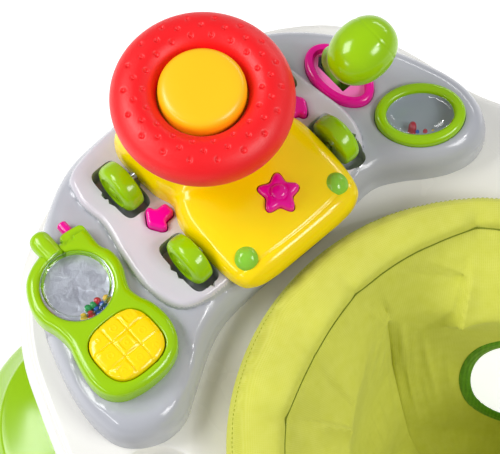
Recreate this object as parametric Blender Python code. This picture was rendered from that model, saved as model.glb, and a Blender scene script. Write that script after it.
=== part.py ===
"""Activity jumper: a sprung play tray on a floor ring, with a turning fabric seat and a toy car console.

Metres, +Z up. The origin is on the floor under the middle of the seat, and the child faces +Y,
towards the console. The script builds one named object for each piece of the product.
"""

import math

import bmesh
import bpy
from mathutils import Matrix, Vector

# ---------------------------------------------------------------- driving dimensions

GAP = 0.0003  # between two pieces that touch
RUNNING_GAP = 0.0008  # round a piece that slides or turns
BUTTON_GAP = 0.0006  # round a button in its well

# tray
DECK_HEIGHT = 0.400
DECK_WALL = 0.004
TRAY_SKIRT = 0.034
SEAT_OPENING_RADIUS = 0.176
CUP_RADIUS = 0.035
CUP_DEPTH = 0.020
CUP_PLACE = (0.2065, 0.1400)

# base: four round hubs joined by a ring of curved tubes
HUB_ACROSS = 0.147
HUB_FORWARD = 0.294
HUB_RADIUS = 0.126
HUB_CREASE_RADIUS = 0.100
HUB_CREASE_HEIGHT = 0.076
HUB_FLOOR_GAP = 0.004
HUB_WALL = 0.0045
COLLAR_RADIUS = 0.040
COLLAR_TOP = 0.125
FOOT_RADIUS = 0.104
FOOT_THICKNESS = 0.007
TUBE_WIDTH = 0.060
TUBE_HEIGHT = 0.042
TUBE_CENTRE_HEIGHT = 0.036
TUBE_WALL = 0.0035
TUBE_INSERTION = 0.036  # how far a tube goes into a hub, from the hub's outer radius

# legs: a post in each hub, and a sleeve under the tray that slides on it
POST_RADIUS = 0.026
POST_TOP = 0.235
POST_FLOOR = 0.020
POST_WALL = 0.0030
SLEEVE_WALL = 0.0070
SLEEVE_NECK_RADIUS = 0.0225  # what goes up inside the tray
SLEEVE_BOTTOM = 0.180
SPRING_TOP = DECK_HEIGHT - 0.070
SPRING_PIN_RADIUS = 0.010
SPRING_PIN_LENGTH = 0.012
SPRING_RADIUS = 0.0150
SPRING_WIRE_RADIUS = 0.0018
SPRING_TURNS = 4
ROUND_SEAT = 24  # corners of each circle at the hubs, so that what fits has the same ones
ROUND_LEG = 14

# seat
RIM_RADIUS = 0.200
RIM_INNER_RADIUS = 0.152
RIM_TOP = DECK_HEIGHT + 0.041
SEAT_FLOOR = 0.190
RING_WALL = 0.004

# console
CONSOLE_HEIGHT = 0.033
PLATEAU_RISE = 0.0075
BOARD_BAY = (0.094, 0.120, 0.024)

# toy car
CAR_X = -0.0035
CAR_HALF_WIDTH = 0.0635
CAR_WHEEL_RADIUS = 0.0205
CAR_WHEEL_WIDTH = 0.0165
CAR_WHEEL_HEIGHT = 0.0045  # axle above the plateau
CAR_AXLE_RADIUS = 0.0030
CAR_AXLES_Y = {"front": 0.2505, "rear": 0.3300}  # its bonnet faces the child

# steering wheel
STEERING_PLACE = (-0.006, 0.316)
STEERING_RADIUS = 0.069
STEERING_HEIGHT = DECK_HEIGHT + 0.121
STEERING_HUB_RADIUS = 0.033
COLUMN_RADIUS = 0.008

BUTTON_TRAVEL = 0.0025
BEAD_RADIUS = 0.0033
BEAD_STEP = 0.0057  # between neighbours in a heap
HORN_TRAVEL = 0.0030

# heights that follow
FLOOR_OF_CONSOLE = DECK_HEIGHT + GAP
WING_TOP = DECK_HEIGHT + CONSOLE_HEIGHT
PLATEAU_TOP = WING_TOP + PLATEAU_RISE
CAR_FLOOR = PLATEAU_TOP + GAP
SEATED = WING_TOP - 0.0025  # toys snap this deep into the console
HUB_PLACES = {
    "front_left": (-HUB_ACROSS, HUB_FORWARD),
    "front_right": (HUB_ACROSS, HUB_FORWARD),
    "rear_left": (-HUB_ACROSS, -HUB_FORWARD),
    "rear_right": (HUB_ACROSS, -HUB_FORWARD),
}

# each finish: linear RGB, roughness, metallic, alpha
FINISHES = {
    "green": ((0.34, 0.58, 0.01), 0.22, 0.0, 1.0),
    "cream": ((0.85, 0.83, 0.78), 0.35, 0.0, 1.0),
    "grey": ((0.49, 0.51, 0.56), 0.30, 0.0, 1.0),
    "yellow": ((1.0, 0.72, 0.0), 0.20, 0.0, 1.0),
    "red": ((0.80, 0.03, 0.04), 0.55, 0.0, 1.0),
    "magenta": ((0.80, 0.0, 0.35), 0.22, 0.0, 1.0),
    "dark_rubber": ((0.03, 0.03, 0.03), 0.70, 0.0, 1.0),
    "steel": ((0.55, 0.55, 0.56), 0.30, 1.0, 1.0),
    "clear": ((0.85, 0.88, 0.90), 0.05, 0.0, 0.3),
    "foil": ((0.80, 0.80, 0.83), 0.10, 1.0, 1.0),
    "seat_cloth": ((0.55, 0.62, 0.10), 0.90, 0.0, 1.0),
    "board_green": ((0.02, 0.18, 0.06), 0.45, 0.0, 1.0),
    "bead_blue": ((0.01, 0.10, 0.40), 0.20, 0.0, 1.0),
}

# ---------------------------------------------------------------- scene and materials


def clear_scene():
    for thing in list(bpy.data.objects):
        bpy.data.objects.remove(thing, do_unlink=True)


def plain_material(name):
    colour, roughness, metallic, alpha = FINISHES[name]
    material = bpy.data.materials.new(name)
    material.use_nodes = True
    shader = material.node_tree.nodes["Principled BSDF"]
    shader.inputs["Base Color"].default_value = (*colour, 1.0)
    shader.inputs["Roughness"].default_value = roughness
    shader.inputs["Metallic"].default_value = metallic
    shader.inputs["Alpha"].default_value = alpha
    material.diffuse_color = (*colour, alpha)
    return material


# ---------------------------------------------------------------- building solids


def add_object(name, bm, material=None, smooth_angle=40.0, at=(0.0, 0.0, 0.0), turn=None):
    """One closed solid from a bmesh, with its faces pointing out, placed by its own matrix."""
    bmesh.ops.recalc_face_normals(bm, faces=bm.faces)
    mesh = bpy.data.meshes.new(name)
    bm.to_mesh(mesh)
    bm.free()
    mesh.shade_smooth()
    mesh.set_sharp_from_angle(angle=math.radians(smooth_angle))
    thing = bpy.data.objects.new(name, mesh)
    bpy.context.collection.objects.link(thing)
    thing.matrix_world = Matrix.Translation(at) @ (turn.to_4x4() if turn else Matrix.Identity(4))
    if material:
        mesh.materials.append(material)
    return thing


def bridged(rings, closed_section=False):
    """A bmesh skin over rings of points; it ends in caps, or joins its last ring to its first."""
    bm = bmesh.new()
    loops = [[bm.verts.new(point) for point in ring] for ring in rings]
    pairs = list(zip(loops, loops[1:]))
    if closed_section:
        pairs.append((loops[-1], loops[0]))
    for lower, upper in pairs:
        count = len(lower)
        for i in range(count):
            j = (i + 1) % count
            bm.faces.new((lower[i], lower[j], upper[j], upper[i]))
    if not closed_section:
        bm.faces.new(loops[0])
        bm.faces.new(loops[-1])
    return bm


def turned(profile, segments=32, ring=False):
    """A bmesh turned about Z from (radius, height) points; a ring's profile closes on itself."""
    bm = bmesh.new()
    columns = []
    for radius, height in profile:
        if radius < 1e-6:
            columns.append([bm.verts.new((0.0, 0.0, height))])
            continue
        points = []
        for i in range(segments):
            angle = 2 * math.pi * i / segments
            points.append(bm.verts.new((radius * math.cos(angle), radius * math.sin(angle), height)))
        columns.append(points)
    pairs = list(zip(columns, columns[1:]))
    if ring:
        pairs.append((columns[-1], columns[0]))
    for one, other in pairs:
        for i in range(segments):
            j = (i + 1) % segments
            corners = [one[i % len(one)], one[j % len(one)], other[j % len(other)], other[i % len(other)]]
            distinct = list(dict.fromkeys(corners))
            if len(distinct) > 2:
                bm.faces.new(distinct)
    return bm


def outline_through(points, count):
    """A smooth closed curve through the points, counter-clockwise, as evenly spaced corners."""
    steps = 24
    total = len(points)
    dense = []
    for i in range(total):
        before, start, end, after = (Vector(points[(i + k) % total]) for k in (-1, 0, 1, 2))
        for step in range(steps):
            t = step / steps
            dense.append(
                0.5 * (2 * start + (end - before) * t
                       + (2 * before - 5 * start + 4 * end - after) * t ** 2
                       + (3 * start - before - 3 * end + after) * t ** 3)
            )
    area = sum(a.x * b.y - b.x * a.y for a, b in zip(dense, dense[1:] + dense[:1]))
    if area < 0:
        dense.reverse()
    lengths = [0.0]
    for a, b in zip(dense, dense[1:] + dense[:1]):
        lengths.append(lengths[-1] + (b - a).length)
    evenly = []
    k = 0
    for i in range(count):
        target = lengths[-1] * i / count
        while lengths[k + 1] < target:
            k += 1
        share = (target - lengths[k]) / (lengths[k + 1] - lengths[k])
        evenly.append(dense[k].lerp(dense[(k + 1) % len(dense)], share))
    return evenly


def inset(outline, distance):
    """The outline moved inwards by a distance, or outwards where that is negative."""
    moved = []
    for i, point in enumerate(outline):
        along = (outline[(i + 1) % len(outline)] - outline[i - 1]).normalized()
        moved.append(point + distance * Vector((-along.y, along.x)))
    return moved


def layered(outline, levels):
    """A bmesh that climbs an outline through (inset, height) levels, closed below and above."""
    return bridged([[(p.x, p.y, height) for p in inset(outline, distance)] for distance, height in levels])


def oval(half_long, half_wide, count=28, centre=(0.0, 0.0), turn=0.0):
    points = []
    for i in range(count):
        angle = 2 * math.pi * i / count
        point = Vector((half_long * math.cos(angle), half_wide * math.sin(angle)))
        point.rotate(Matrix.Rotation(turn, 2))
        points.append(point + Vector(centre))
    return points


def rounded_box(half_x, half_y, power=4.0, count=24, centre=(0.0, 0.0)):
    """A superellipse: the higher its power, the squarer its corners."""
    points = []
    for i in range(count):
        angle = 2 * math.pi * i / count
        c = math.cos(angle)
        s = math.sin(angle)
        x = math.copysign(abs(c) ** (2 / power), c) * half_x
        y = math.copysign(abs(s) ** (2 / power), s) * half_y
        points.append(Vector((centre[0] + x, centre[1] + y)))
    return points


def form(name, bm, at=(0.0, 0.0, 0.0), turn=None):
    """A shape that only cuts or adds to another piece."""
    shape = add_object(name, bm, at=at, turn=turn)
    shape.hide_render = True
    shape.display_type = "WIRE"
    return shape


def combine(target, shape, operation="DIFFERENCE"):
    boolean = target.modifiers.new(shape.name, "BOOLEAN")
    boolean.operation = operation
    boolean.solver = "EXACT"
    boolean.object = shape


def cut_prism(target, name, outline, low, high):
    combine(target, form(name, layered(outline, [(0.0, low), (0.0, high)])))


ALONG_X = Matrix.Rotation(math.radians(90), 3, "Y")

# ---------------------------------------------------------------- base


def hub_angle(place):
    return math.atan2(place[1], place[0])


def tube_path(start, end, trim, step=math.radians(12)):
    """Points on the base circle from one hub to the next, kept a distance from both hub centres."""
    radius = math.hypot(HUB_ACROSS, HUB_FORWARD)
    margin = 2 * math.asin(trim / (2 * radius))
    first = start + margin
    last = end - margin
    steps = max(3, round((last - first) / step))
    return [(radius, first + (last - first) * i / steps) for i in range(steps + 1)]


def tube_rings(path, grow=0.0):
    """The tube's flat oval section carried along the base circle."""
    section = rounded_box(TUBE_WIDTH / 2 + grow, TUBE_HEIGHT / 2 + grow, power=2.8, count=12)
    rings = []
    for radius, angle in path:
        rings.append(
            [((radius + s.x) * math.cos(angle), (radius + s.x) * math.sin(angle), TUBE_CENTRE_HEIGHT + s.y)
             for s in section]
        )
    return rings


def hollow_tube(path):
    """Its outer skin out and its inner skin back, joined at both open ends."""
    return bridged(tube_rings(path) + tube_rings(path, -TUBE_WALL)[::-1], closed_section=True)


def make_base(green, cream, rubber):
    seat_top = FOOT_THICKNESS + GAP
    boss = POST_RADIUS + GAP + HUB_WALL
    rise = HUB_CREASE_HEIGHT
    # under the hub from its middle out, round the foot's seat, then over its flange, crease and collar
    hub_profile = [
        (0.0, seat_top),
        (boss, seat_top),
        (boss, rise + 0.0150),
        (COLLAR_RADIUS + 0.012, rise + 0.0095),
        (HUB_CREASE_RADIUS - 0.007, rise - HUB_WALL),
        (HUB_CREASE_RADIUS + 0.006, 0.052),
        (HUB_RADIUS - 0.007, 0.019),
        (HUB_RADIUS - 0.011, seat_top + HUB_WALL),
        (FOOT_RADIUS - 0.006, seat_top + HUB_WALL),
        (FOOT_RADIUS - 0.006, seat_top),
        (FOOT_RADIUS + GAP, seat_top),
        (FOOT_RADIUS + GAP, HUB_FLOOR_GAP),
        (HUB_RADIUS - 0.002, HUB_FLOOR_GAP),
        (HUB_RADIUS, 0.019),
        (HUB_CREASE_RADIUS + 0.012, 0.054),
        (HUB_CREASE_RADIUS + 0.001, rise - 0.003),
        (HUB_CREASE_RADIUS - 0.003, rise),
        (COLLAR_RADIUS + 0.012, rise + 0.0145),
        (COLLAR_RADIUS, rise + 0.0250),
        (COLLAR_RADIUS - 0.001, COLLAR_TOP),
        (0.0, COLLAR_TOP),
    ]
    foot_profile = [
        (0.0, 0.0),
        (FOOT_RADIUS - 0.002, 0.0),
        (FOOT_RADIUS, FOOT_THICKNESS),
        (0.0, FOOT_THICKNESS),
    ]
    socket_profile = [
        (0.0, POST_FLOOR),
        (POST_RADIUS + GAP, POST_FLOOR),
        (POST_RADIUS + GAP, COLLAR_TOP + 0.01),
        (0.0, COLLAR_TOP + 0.01),
    ]
    order = ["front_right", "front_left", "rear_left", "rear_right"]
    names = ["front_base_tube", "left_base_tube", "rear_base_tube", "right_base_tube"]
    sockets = {place: [] for place in order}
    for i, name in enumerate(names):
        start = hub_angle(HUB_PLACES[order[i]])
        end = hub_angle(HUB_PLACES[order[(i + 1) % 4]])
        end += 2 * math.pi if end < start else 0.0
        trim = HUB_RADIUS - TUBE_INSERTION
        add_object(name, hollow_tube(tube_path(start, end, trim)), cream)
        socket = form(name + "_socket", bridged(tube_rings(tube_path(start, end, trim - GAP), GAP)))
        sockets[order[i]].append(socket)
        sockets[order[(i + 1) % 4]].append(socket)
    for place, (x, y) in HUB_PLACES.items():
        hub = add_object(place + "_hub", turned(hub_profile, ROUND_SEAT), green, at=(x, y, 0.0))
        combine(hub, form(place + "_post_socket", turned(socket_profile, ROUND_LEG), at=(x, y, 0.0)))
        for socket in sockets[place]:
            combine(hub, socket)
        add_object(place + "_foot", turned(foot_profile, ROUND_SEAT), rubber, at=(x, y, 0.0))


# ---------------------------------------------------------------- legs


def spring_mesh():
    """A compression spring of round wire, standing on the post's shoulder."""
    low = POST_TOP + GAP + SPRING_WIRE_RADIUS
    high = SPRING_TOP - GAP - SPRING_WIRE_RADIUS
    per_turn = 8
    sides = 4
    rings = []
    for i in range(SPRING_TURNS * per_turn + 1):
        angle = 2 * math.pi * i / per_turn
        height = low + (high - low) * i / (SPRING_TURNS * per_turn)
        ring = []
        for k in range(sides):
            around = 2 * math.pi * (k + 0.5) / sides
            radius = SPRING_RADIUS + SPRING_WIRE_RADIUS * math.cos(around)
            ring.append((radius * math.cos(angle), radius * math.sin(angle),
                         height + SPRING_WIRE_RADIUS * math.sin(around)))
        rings.append(ring)
    return bridged(rings)


def make_legs(cream, steel):
    bore = POST_RADIUS + RUNNING_GAP
    outside = bore + SLEEVE_WALL
    sleeve_top = DECK_HEIGHT - DECK_WALL - GAP
    post_profile = [
        (POST_RADIUS, POST_FLOOR + GAP),
        (POST_RADIUS, POST_TOP),
        (SPRING_PIN_RADIUS, POST_TOP),
        (SPRING_PIN_RADIUS, POST_TOP + SPRING_PIN_LENGTH),
        (0.0, POST_TOP + SPRING_PIN_LENGTH),
        (0.0, POST_TOP - POST_WALL),
        (POST_RADIUS - POST_WALL, POST_TOP - POST_WALL),
        (POST_RADIUS - POST_WALL, POST_FLOOR + GAP),
    ]
    shoulder = DECK_HEIGHT - TRAY_SKIRT - 0.001
    sleeve_profile = [
        (bore, SLEEVE_BOTTOM),
        (outside + 0.003, SLEEVE_BOTTOM),
        (outside + 0.003, SLEEVE_BOTTOM + 0.012),
        (outside, SLEEVE_BOTTOM + 0.017),
        (outside, shoulder - 0.004),
        (outside - 0.003, shoulder),
        (SLEEVE_NECK_RADIUS, shoulder),
        (SLEEVE_NECK_RADIUS, sleeve_top),
        (0.0, sleeve_top),
        (0.0, SPRING_TOP),
        (bore, SPRING_TOP),
    ]
    for place, (x, y) in HUB_PLACES.items():
        post = turned(post_profile, ROUND_LEG)
        close_ring(post)
        add_object(place + "_leg_post", post, cream, at=(x, y, 0.0))
        add_object(place + "_spring", spring_mesh(), steel, at=(x, y, 0.0))
        sleeve = turned(sleeve_profile, ROUND_LEG)
        close_ring(sleeve)
        add_object(place + "_leg_sleeve", sleeve, cream, at=(x, y, 0.0))


def close_ring(bm):
    """Fill the open mouth between a turned piece's first and last circles."""
    edges = [edge for edge in bm.edges if edge.is_boundary]
    bmesh.ops.bridge_loops(bm, edges=edges)


# ---------------------------------------------------------------- tray


def tray_outline(count):
    """Its sides between the legs are placed along the way to them, and its ends by distance past them."""
    left_side = [(0.1050, 0.65), (0.1310, 0.43), (0.1490, 0.19), (0.1530, 0.0)]
    left_end = [(-0.0870, 0.0970), (-0.0420, 0.0840), (0.0130, 0.0600), (0.0610, 0.0070), (0.0880, -0.0540)]
    right_side = [(0.0660, 0.68), (0.0970, 0.585), (0.1290, 0.44), (0.1490, 0.204), (0.1530, 0.0)]
    right_end = [(-0.0870, 0.0970), (-0.0370, 0.0840), (0.0110, 0.0510), (0.0390, -0.0040), (0.0510, -0.0590)]
    rear_side = [(0.1430, 0.34), (0.1050, 0.68)]
    rear_end = [(0.0580, 0.0040), (-0.0070, -0.0560), (-0.0870, -0.0840)]
    points = []
    for side, end, middle in ((-1, left_end, left_side), (1, right_end, right_side)):
        half = [(side * (HUB_ACROSS + x), HUB_FORWARD + y) for x, y in end]
        half += [(side * (HUB_ACROSS + x), HUB_FORWARD * share) for x, share in middle]
        half += [(side * (HUB_ACROSS + x), -HUB_FORWARD * share) for x, share in rear_side]
        half += [(side * (HUB_ACROSS + x), y - HUB_FORWARD) for x, y in rear_end]
        points.append(half)
    return outline_through(points[0] + points[1][::-1], count)


def make_tray(cream):
    count = 56
    edge = tray_outline(count)
    bottom = DECK_HEIGHT - TRAY_SKIRT
    collar_bottom = bottom + 0.006
    outer_levels = [
        (0.002, bottom),
        (0.0, DECK_HEIGHT - 0.014),
        (0.0055, DECK_HEIGHT - 0.0112),
        (0.0070, DECK_HEIGHT - 0.0035),
        (0.0110, DECK_HEIGHT),
    ]
    rings = [[(p.x, p.y, z) for p in inset(edge, distance)] for distance, z in outer_levels]
    # the well's circle has one corner for each corner of the edge, in the same direction from the seat
    angles = [math.atan2(p.y, p.x) for p in edge]
    well_levels = [
        (SEAT_OPENING_RADIUS + 0.002, DECK_HEIGHT),
        (SEAT_OPENING_RADIUS, DECK_HEIGHT - 0.002),
        (SEAT_OPENING_RADIUS, collar_bottom),
        (SEAT_OPENING_RADIUS + DECK_WALL, collar_bottom),
        (SEAT_OPENING_RADIUS + DECK_WALL, DECK_HEIGHT - DECK_WALL),
    ]
    rings += [[(r * math.cos(a), r * math.sin(a), z) for a in angles] for r, z in well_levels]
    inner_levels = [(0.0125, DECK_HEIGHT - DECK_WALL), (0.0090, DECK_HEIGHT - 0.0150), (0.0050, bottom)]
    rings += [[(p.x, p.y, z) for p in inset(edge, distance)] for distance, z in inner_levels]
    tray = add_object("tray", bridged(rings, closed_section=True), cream)
    for side, name in ((-1, "left_cup"), (1, "right_cup")):
        add_cup(tray, name, (side * CUP_PLACE[0], CUP_PLACE[1]))


def add_cup(tray, name, place):
    """A round well in the deck, with its own wall and floor below."""
    around = oval(CUP_RADIUS, CUP_RADIUS, 20, place)
    floor = DECK_HEIGHT - CUP_DEPTH
    below = [(0.002, floor - 0.003), (-0.003, floor + 0.002), (-0.003, DECK_HEIGHT - 0.002)]
    combine(tray, form(name + "_wall", layered(around, below)), "UNION")
    inside = [(0.004, floor), (0.0005, floor + 0.003), (0.0, DECK_HEIGHT - 0.002),
              (-0.003, DECK_HEIGHT + 0.001)]
    combine(tray, form(name + "_well", layered(around, inside)))


# ---------------------------------------------------------------- seat


def make_seat(grey, cloth):
    barrel = SEAT_OPENING_RADIUS - 0.003
    flange_top = DECK_HEIGHT + 0.0045
    bottom = DECK_HEIGHT - TRAY_SKIRT + 0.002
    ring_profile = [
        (barrel - RING_WALL, bottom + 0.0045),
        (barrel, bottom + 0.0045),
        (barrel, DECK_HEIGHT + GAP * 2),
        (barrel + 0.018, DECK_HEIGHT + GAP * 2),
        (barrel + 0.018, flange_top),
        (barrel - RING_WALL, flange_top),
    ]
    add_object("seat_ring", turned(ring_profile, 36, ring=True), grey)
    keeper_profile = [
        (barrel - RING_WALL, bottom + 0.0005),
        (barrel + 0.008, bottom + 0.0005),
        (barrel + 0.008, bottom + 0.0035),
        (barrel - RING_WALL, bottom + 0.0042),
    ]
    add_object("seat_ring_keeper", turned(keeper_profile, 36, ring=True), grey)
    make_seat_cloth(barrel - RING_WALL - 0.002, flange_top + 0.0005, cloth)


def make_seat_cloth(sling_radius, rim_bottom, cloth):
    """The padded rim and the hanging sling, with two leg holes at the front of its floor."""
    waist = DECK_HEIGHT - 0.080
    profile = [
        (sling_radius, rim_bottom),
        (RIM_RADIUS - 0.006, rim_bottom),
        (RIM_RADIUS, rim_bottom + 0.008),
        (RIM_RADIUS - 0.004, RIM_TOP - 0.012),
        (RIM_RADIUS - 0.016, RIM_TOP),
        (RIM_INNER_RADIUS + 0.014, RIM_TOP),
        (RIM_INNER_RADIUS, RIM_TOP - 0.010),
        (RIM_INNER_RADIUS - 0.014, waist),
        (RIM_INNER_RADIUS - 0.044, SEAT_FLOOR + 0.035),
        (0.072, SEAT_FLOOR + 0.007),
        (0.0, SEAT_FLOOR + 0.003),
        (0.0, SEAT_FLOOR - 0.004),
        (0.074, SEAT_FLOOR),
        (RIM_INNER_RADIUS - 0.038, SEAT_FLOOR + 0.031),
        (RIM_INNER_RADIUS - 0.007, waist),
    ]
    sling = turned(profile, 32)
    close_ring(sling)
    seat = add_object("seat_cloth", sling, cloth)
    for side, name in ((-1, "left"), (1, "right")):
        hole = layered(oval(0.058, 0.050, 16), [(0.0, 0.0), (0.0, 0.16)])
        tilt = Vector((side * 0.62, 0.55, -0.56)).to_track_quat("Z", "Y").to_matrix()
        start = Vector((side * 0.040, 0.030, SEAT_FLOOR + 0.095))
        combine(seat, form(name + "_leg_hole", hole, at=start, turn=tilt))


# ---------------------------------------------------------------- console


def console_outline(count=52):
    left_wing = [(-0.050, 0.384), (-0.098, 0.378), (-0.145, 0.350), (-0.182, 0.308), (-0.201, 0.265),
                 (-0.211, 0.218), (-0.206, 0.184), (-0.184, 0.167), (-0.158, 0.165), (-0.122, 0.186)]
    seat_side = [(-0.088, 0.2035), (-0.045, 0.2085), (0.0, 0.2075), (0.040, 0.2085), (0.074, 0.213)]
    right_wing = [(0.101, 0.2015), (0.124, 0.186), (0.150, 0.178), (0.173, 0.185), (0.186, 0.206),
                  (0.187, 0.232), (0.178, 0.262), (0.160, 0.300), (0.130, 0.341), (0.092, 0.370),
                  (0.048, 0.383)]
    return outline_through(left_wing + seat_side + right_wing + [(0.0, 0.386)], count)


def plateau_outline(count=36):
    left = [(-0.090, 0.371), (-0.108, 0.348), (-0.107, 0.318), (-0.113, 0.288), (-0.116, 0.258),
            (-0.109, 0.230), (-0.086, 0.219)]
    right = [(0.068, 0.224), (0.088, 0.238), (0.096, 0.262), (0.092, 0.296), (0.086, 0.330), (0.070, 0.364)]
    seat_side = [(-0.045, 0.2175), (0.0, 0.217), (0.040, 0.2185)]
    return outline_through(left + seat_side + right + [(0.0, 0.378)], count)


def wheel_places():
    """Each toy wheel's name, its side of the car, and its place."""
    for end, y in CAR_AXLES_Y.items():
        for side, name in ((-1, "left"), (1, "right")):
            x = CAR_X + side * (CAR_HALF_WIDTH + 0.0035 + CAR_WHEEL_WIDTH / 2)
            yield end + "_" + name, side, (x, y, PLATEAU_TOP + CAR_WHEEL_HEIGHT)


def make_console(grey):
    levels = [
        (0.0020, FLOOR_OF_CONSOLE),
        (0.0, FLOOR_OF_CONSOLE + 0.006),
        (0.0010, DECK_HEIGHT + 0.015),
        (0.0050, DECK_HEIGHT + 0.0245),
        (0.0115, DECK_HEIGHT + 0.0305),
        (0.0190, WING_TOP),
    ]
    console = add_object("console", layered(console_outline(), levels), grey)
    foot = WING_TOP - 0.006
    rise = [(0.0, foot), (0.0, WING_TOP + 0.0025), (0.0015, PLATEAU_TOP - 0.0015), (0.0045, PLATEAU_TOP)]
    combine(console, form("plateau", layered(plateau_outline(), rise)), "UNION")
    bay = rounded_box(BOARD_BAY[0] / 2, BOARD_BAY[1] / 2, 12, 16, (CAR_X, 0.292))
    cut_prism(console, "board_bay", bay, DECK_HEIGHT - 0.01, DECK_HEIGHT + BOARD_BAY[2])
    for name, _, place in wheel_places():
        pocket = rounded_box(CAR_WHEEL_WIDTH / 2 + 0.004, CAR_WHEEL_RADIUS + 0.004, 5, 16, place[:2])
        low = place[2] - CAR_WHEEL_RADIUS - 0.003
        cut_prism(console, name + "_wheel_pocket", pocket, low, PLATEAU_TOP + 0.01)
    return console


# ---------------------------------------------------------------- toy car

# stations from the bumper back: y, half width, height of the top above the plateau
CAR_STATIONS = [
    (0.1985, 0.036, 0.0085),
    (0.2015, 0.050, 0.0150),
    (0.2080, 0.0585, 0.0200),
    (0.2200, 0.0620, 0.0230),
    (0.2400, 0.0635, 0.0265),
    (0.2640, 0.0635, 0.0300),
    (0.2800, 0.0615, 0.0350),
    (0.2960, 0.0590, 0.0430),
    (0.3140, 0.0600, 0.0470),
    (0.3380, 0.0610, 0.0460),
    (0.3540, 0.0590, 0.0390),
    (0.3640, 0.0520, 0.0270),
    (0.3690, 0.0380, 0.0120),
]


def car_section(half_width, height):
    """Half of a superellipse standing on a flat floor."""
    points = [(CAR_X - half_width, 0.0), (CAR_X + half_width, 0.0)]
    arch = 12
    for i in range(1, arch):
        angle = math.pi * i / arch
        c = math.cos(angle)
        x = math.copysign(abs(c) ** 0.62, c) * half_width
        points.append((CAR_X + x, height * math.sin(angle) ** 0.62))
    return points


def hood_height(y):
    """The height of the car's top above the plateau at a place along it."""
    for (y0, _, z0), (y1, _, z1) in zip(CAR_STATIONS, CAR_STATIONS[1:]):
        if y0 <= y <= y1:
            return z0 + (z1 - z0) * (y - y0) / (y1 - y0)
    return 0.0


def star_outline(radius, count=30):
    points = []
    for i in range(count):
        angle = 2 * math.pi * i / count
        wave = math.cos(5 * angle)
        reach = radius * (0.83 + 0.17 * wave)
        points.append(Vector((reach * math.sin(angle), -reach * math.cos(angle))))
    return points


def make_car(yellow, steel, green, magenta):
    rings = []
    for y, half_width, height in CAR_STATIONS:
        rings.append([(x, y, CAR_FLOOR + z) for x, z in car_section(half_width, height)])
    car = add_object("car_body", bridged(rings), yellow, smooth_angle=50)
    boss = turned([(0.0, 0.0), (0.030, 0.0), (0.022, 0.018), (0.018, 0.0225), (0.0, 0.0225)], 24)
    combine(car, form("steering_boss", boss, at=(*STEERING_PLACE, CAR_FLOOR + 0.040)), "UNION")
    column_low = CAR_FLOOR + 0.016
    bore = turned([(0.0, column_low - GAP), (COLUMN_RADIUS + GAP, column_low - GAP),
                   (COLUMN_RADIUS + GAP, CAR_FLOOR + 0.08), (0.0, CAR_FLOOR + 0.08)], 20)
    combine(car, form("column_bore", bore, at=(*STEERING_PLACE, 0.0)))
    make_axles_and_wheels(car, steel, green)
    make_star_button(car, magenta)
    make_headlights(car, green)
    return car


def make_axles_and_wheels(car, steel, green):
    reach = CAR_HALF_WIDTH + 0.0035 + CAR_WHEEL_WIDTH * 0.7
    height = PLATEAU_TOP + CAR_WHEEL_HEIGHT
    for end, y in CAR_AXLES_Y.items():
        rod = [(0.0, -reach), (CAR_AXLE_RADIUS, -reach), (CAR_AXLE_RADIUS, reach), (0.0, reach)]
        add_object(end + "_axle", turned(rod, 12), steel, at=(CAR_X, y, height), turn=ALONG_X)
        hole = [(0.0, -reach), (CAR_AXLE_RADIUS + GAP, -reach), (CAR_AXLE_RADIUS + GAP, reach), (0.0, reach)]
        combine(car, form(end + "_axle_bore", turned(hole, 12), at=(CAR_X, y, height), turn=ALONG_X))
    half = CAR_WHEEL_WIDTH / 2
    bore = CAR_AXLE_RADIUS + GAP
    depth = CAR_WHEEL_WIDTH * 0.7 + GAP
    r = CAR_WHEEL_RADIUS
    tyre = [(bore, -half), (r - 0.007, -half), (r - 0.0008, -half + 0.0035),
            (r, half - 0.0070), (r - 0.0030, half - 0.0022), (r - 0.0085, half),
            (0.0, half), (0.0, -half + depth), (bore, -half + depth)]
    for name, side, place in wheel_places():
        wheel = turned(tyre, 16)
        close_ring(wheel)
        turn = Matrix.Rotation(math.radians(90 * side), 3, "Y")
        add_object(name + "_car_wheel", wheel, green, at=place, turn=turn)


def make_star_button(car, magenta):
    x = 0.001
    y = 0.240
    top = CAR_FLOOR + hood_height(y) + 0.0055
    low = CAR_FLOOR + 0.0120
    radius = 0.0165
    levels = [(0.0, low), (0.0, top - 0.0020), (0.0010, top - 0.0006), (0.0035, top)]
    rings = [[(p.x, p.y, height) for p in star_outline(radius - less)] for less, height in levels]
    button = add_object("star_button", bridged(rings), magenta, at=(x, y, 0.0))
    dome = turned([(0.0, -0.002), (0.0066, -0.002), (0.0062, 0.0012), (0.0040, 0.0030), (0.0, 0.0036)], 16)
    combine(button, form("star_dome", dome, at=(x, y, top)), "UNION")
    around = inset(star_outline(radius), -BUTTON_GAP)
    well = layered(around, [(0.0, low - BUTTON_TRAVEL - GAP), (0.0, top + 0.01)])
    combine(car, form("star_well", well, at=(x, y, 0.0)))


def make_headlights(car, green):
    for side, name in ((-1, "left"), (1, "right")):
        x = CAR_X + side * 0.0455
        y = 0.2185
        height = CAR_FLOOR + 0.0165
        profile = []
        bigger = []
        for i in range(6):
            angle = math.pi * (i / 5 - 0.5)
            profile.append((0.0098 * max(0.0, math.cos(angle)), 0.0075 * math.sin(angle)))
            bigger.append((0.0101 * max(0.0, math.cos(angle)), 0.0078 * math.sin(angle)))
        profile[0] = (0.0, -0.0075)
        profile[-1] = (0.0, 0.0075)
        bigger[0] = (0.0, -0.0078)
        bigger[-1] = (0.0, 0.0078)
        lean = Matrix.Rotation(math.radians(28), 3, "X") @ Matrix.Rotation(math.radians(22 * side), 3, "Y")
        add_object(name + "_headlight", turned(profile, 12), green, at=(x, y, height), turn=lean)
        combine(car, form(name + "_headlight_socket", turned(bigger, 12), at=(x, y, height), turn=lean))


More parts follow.
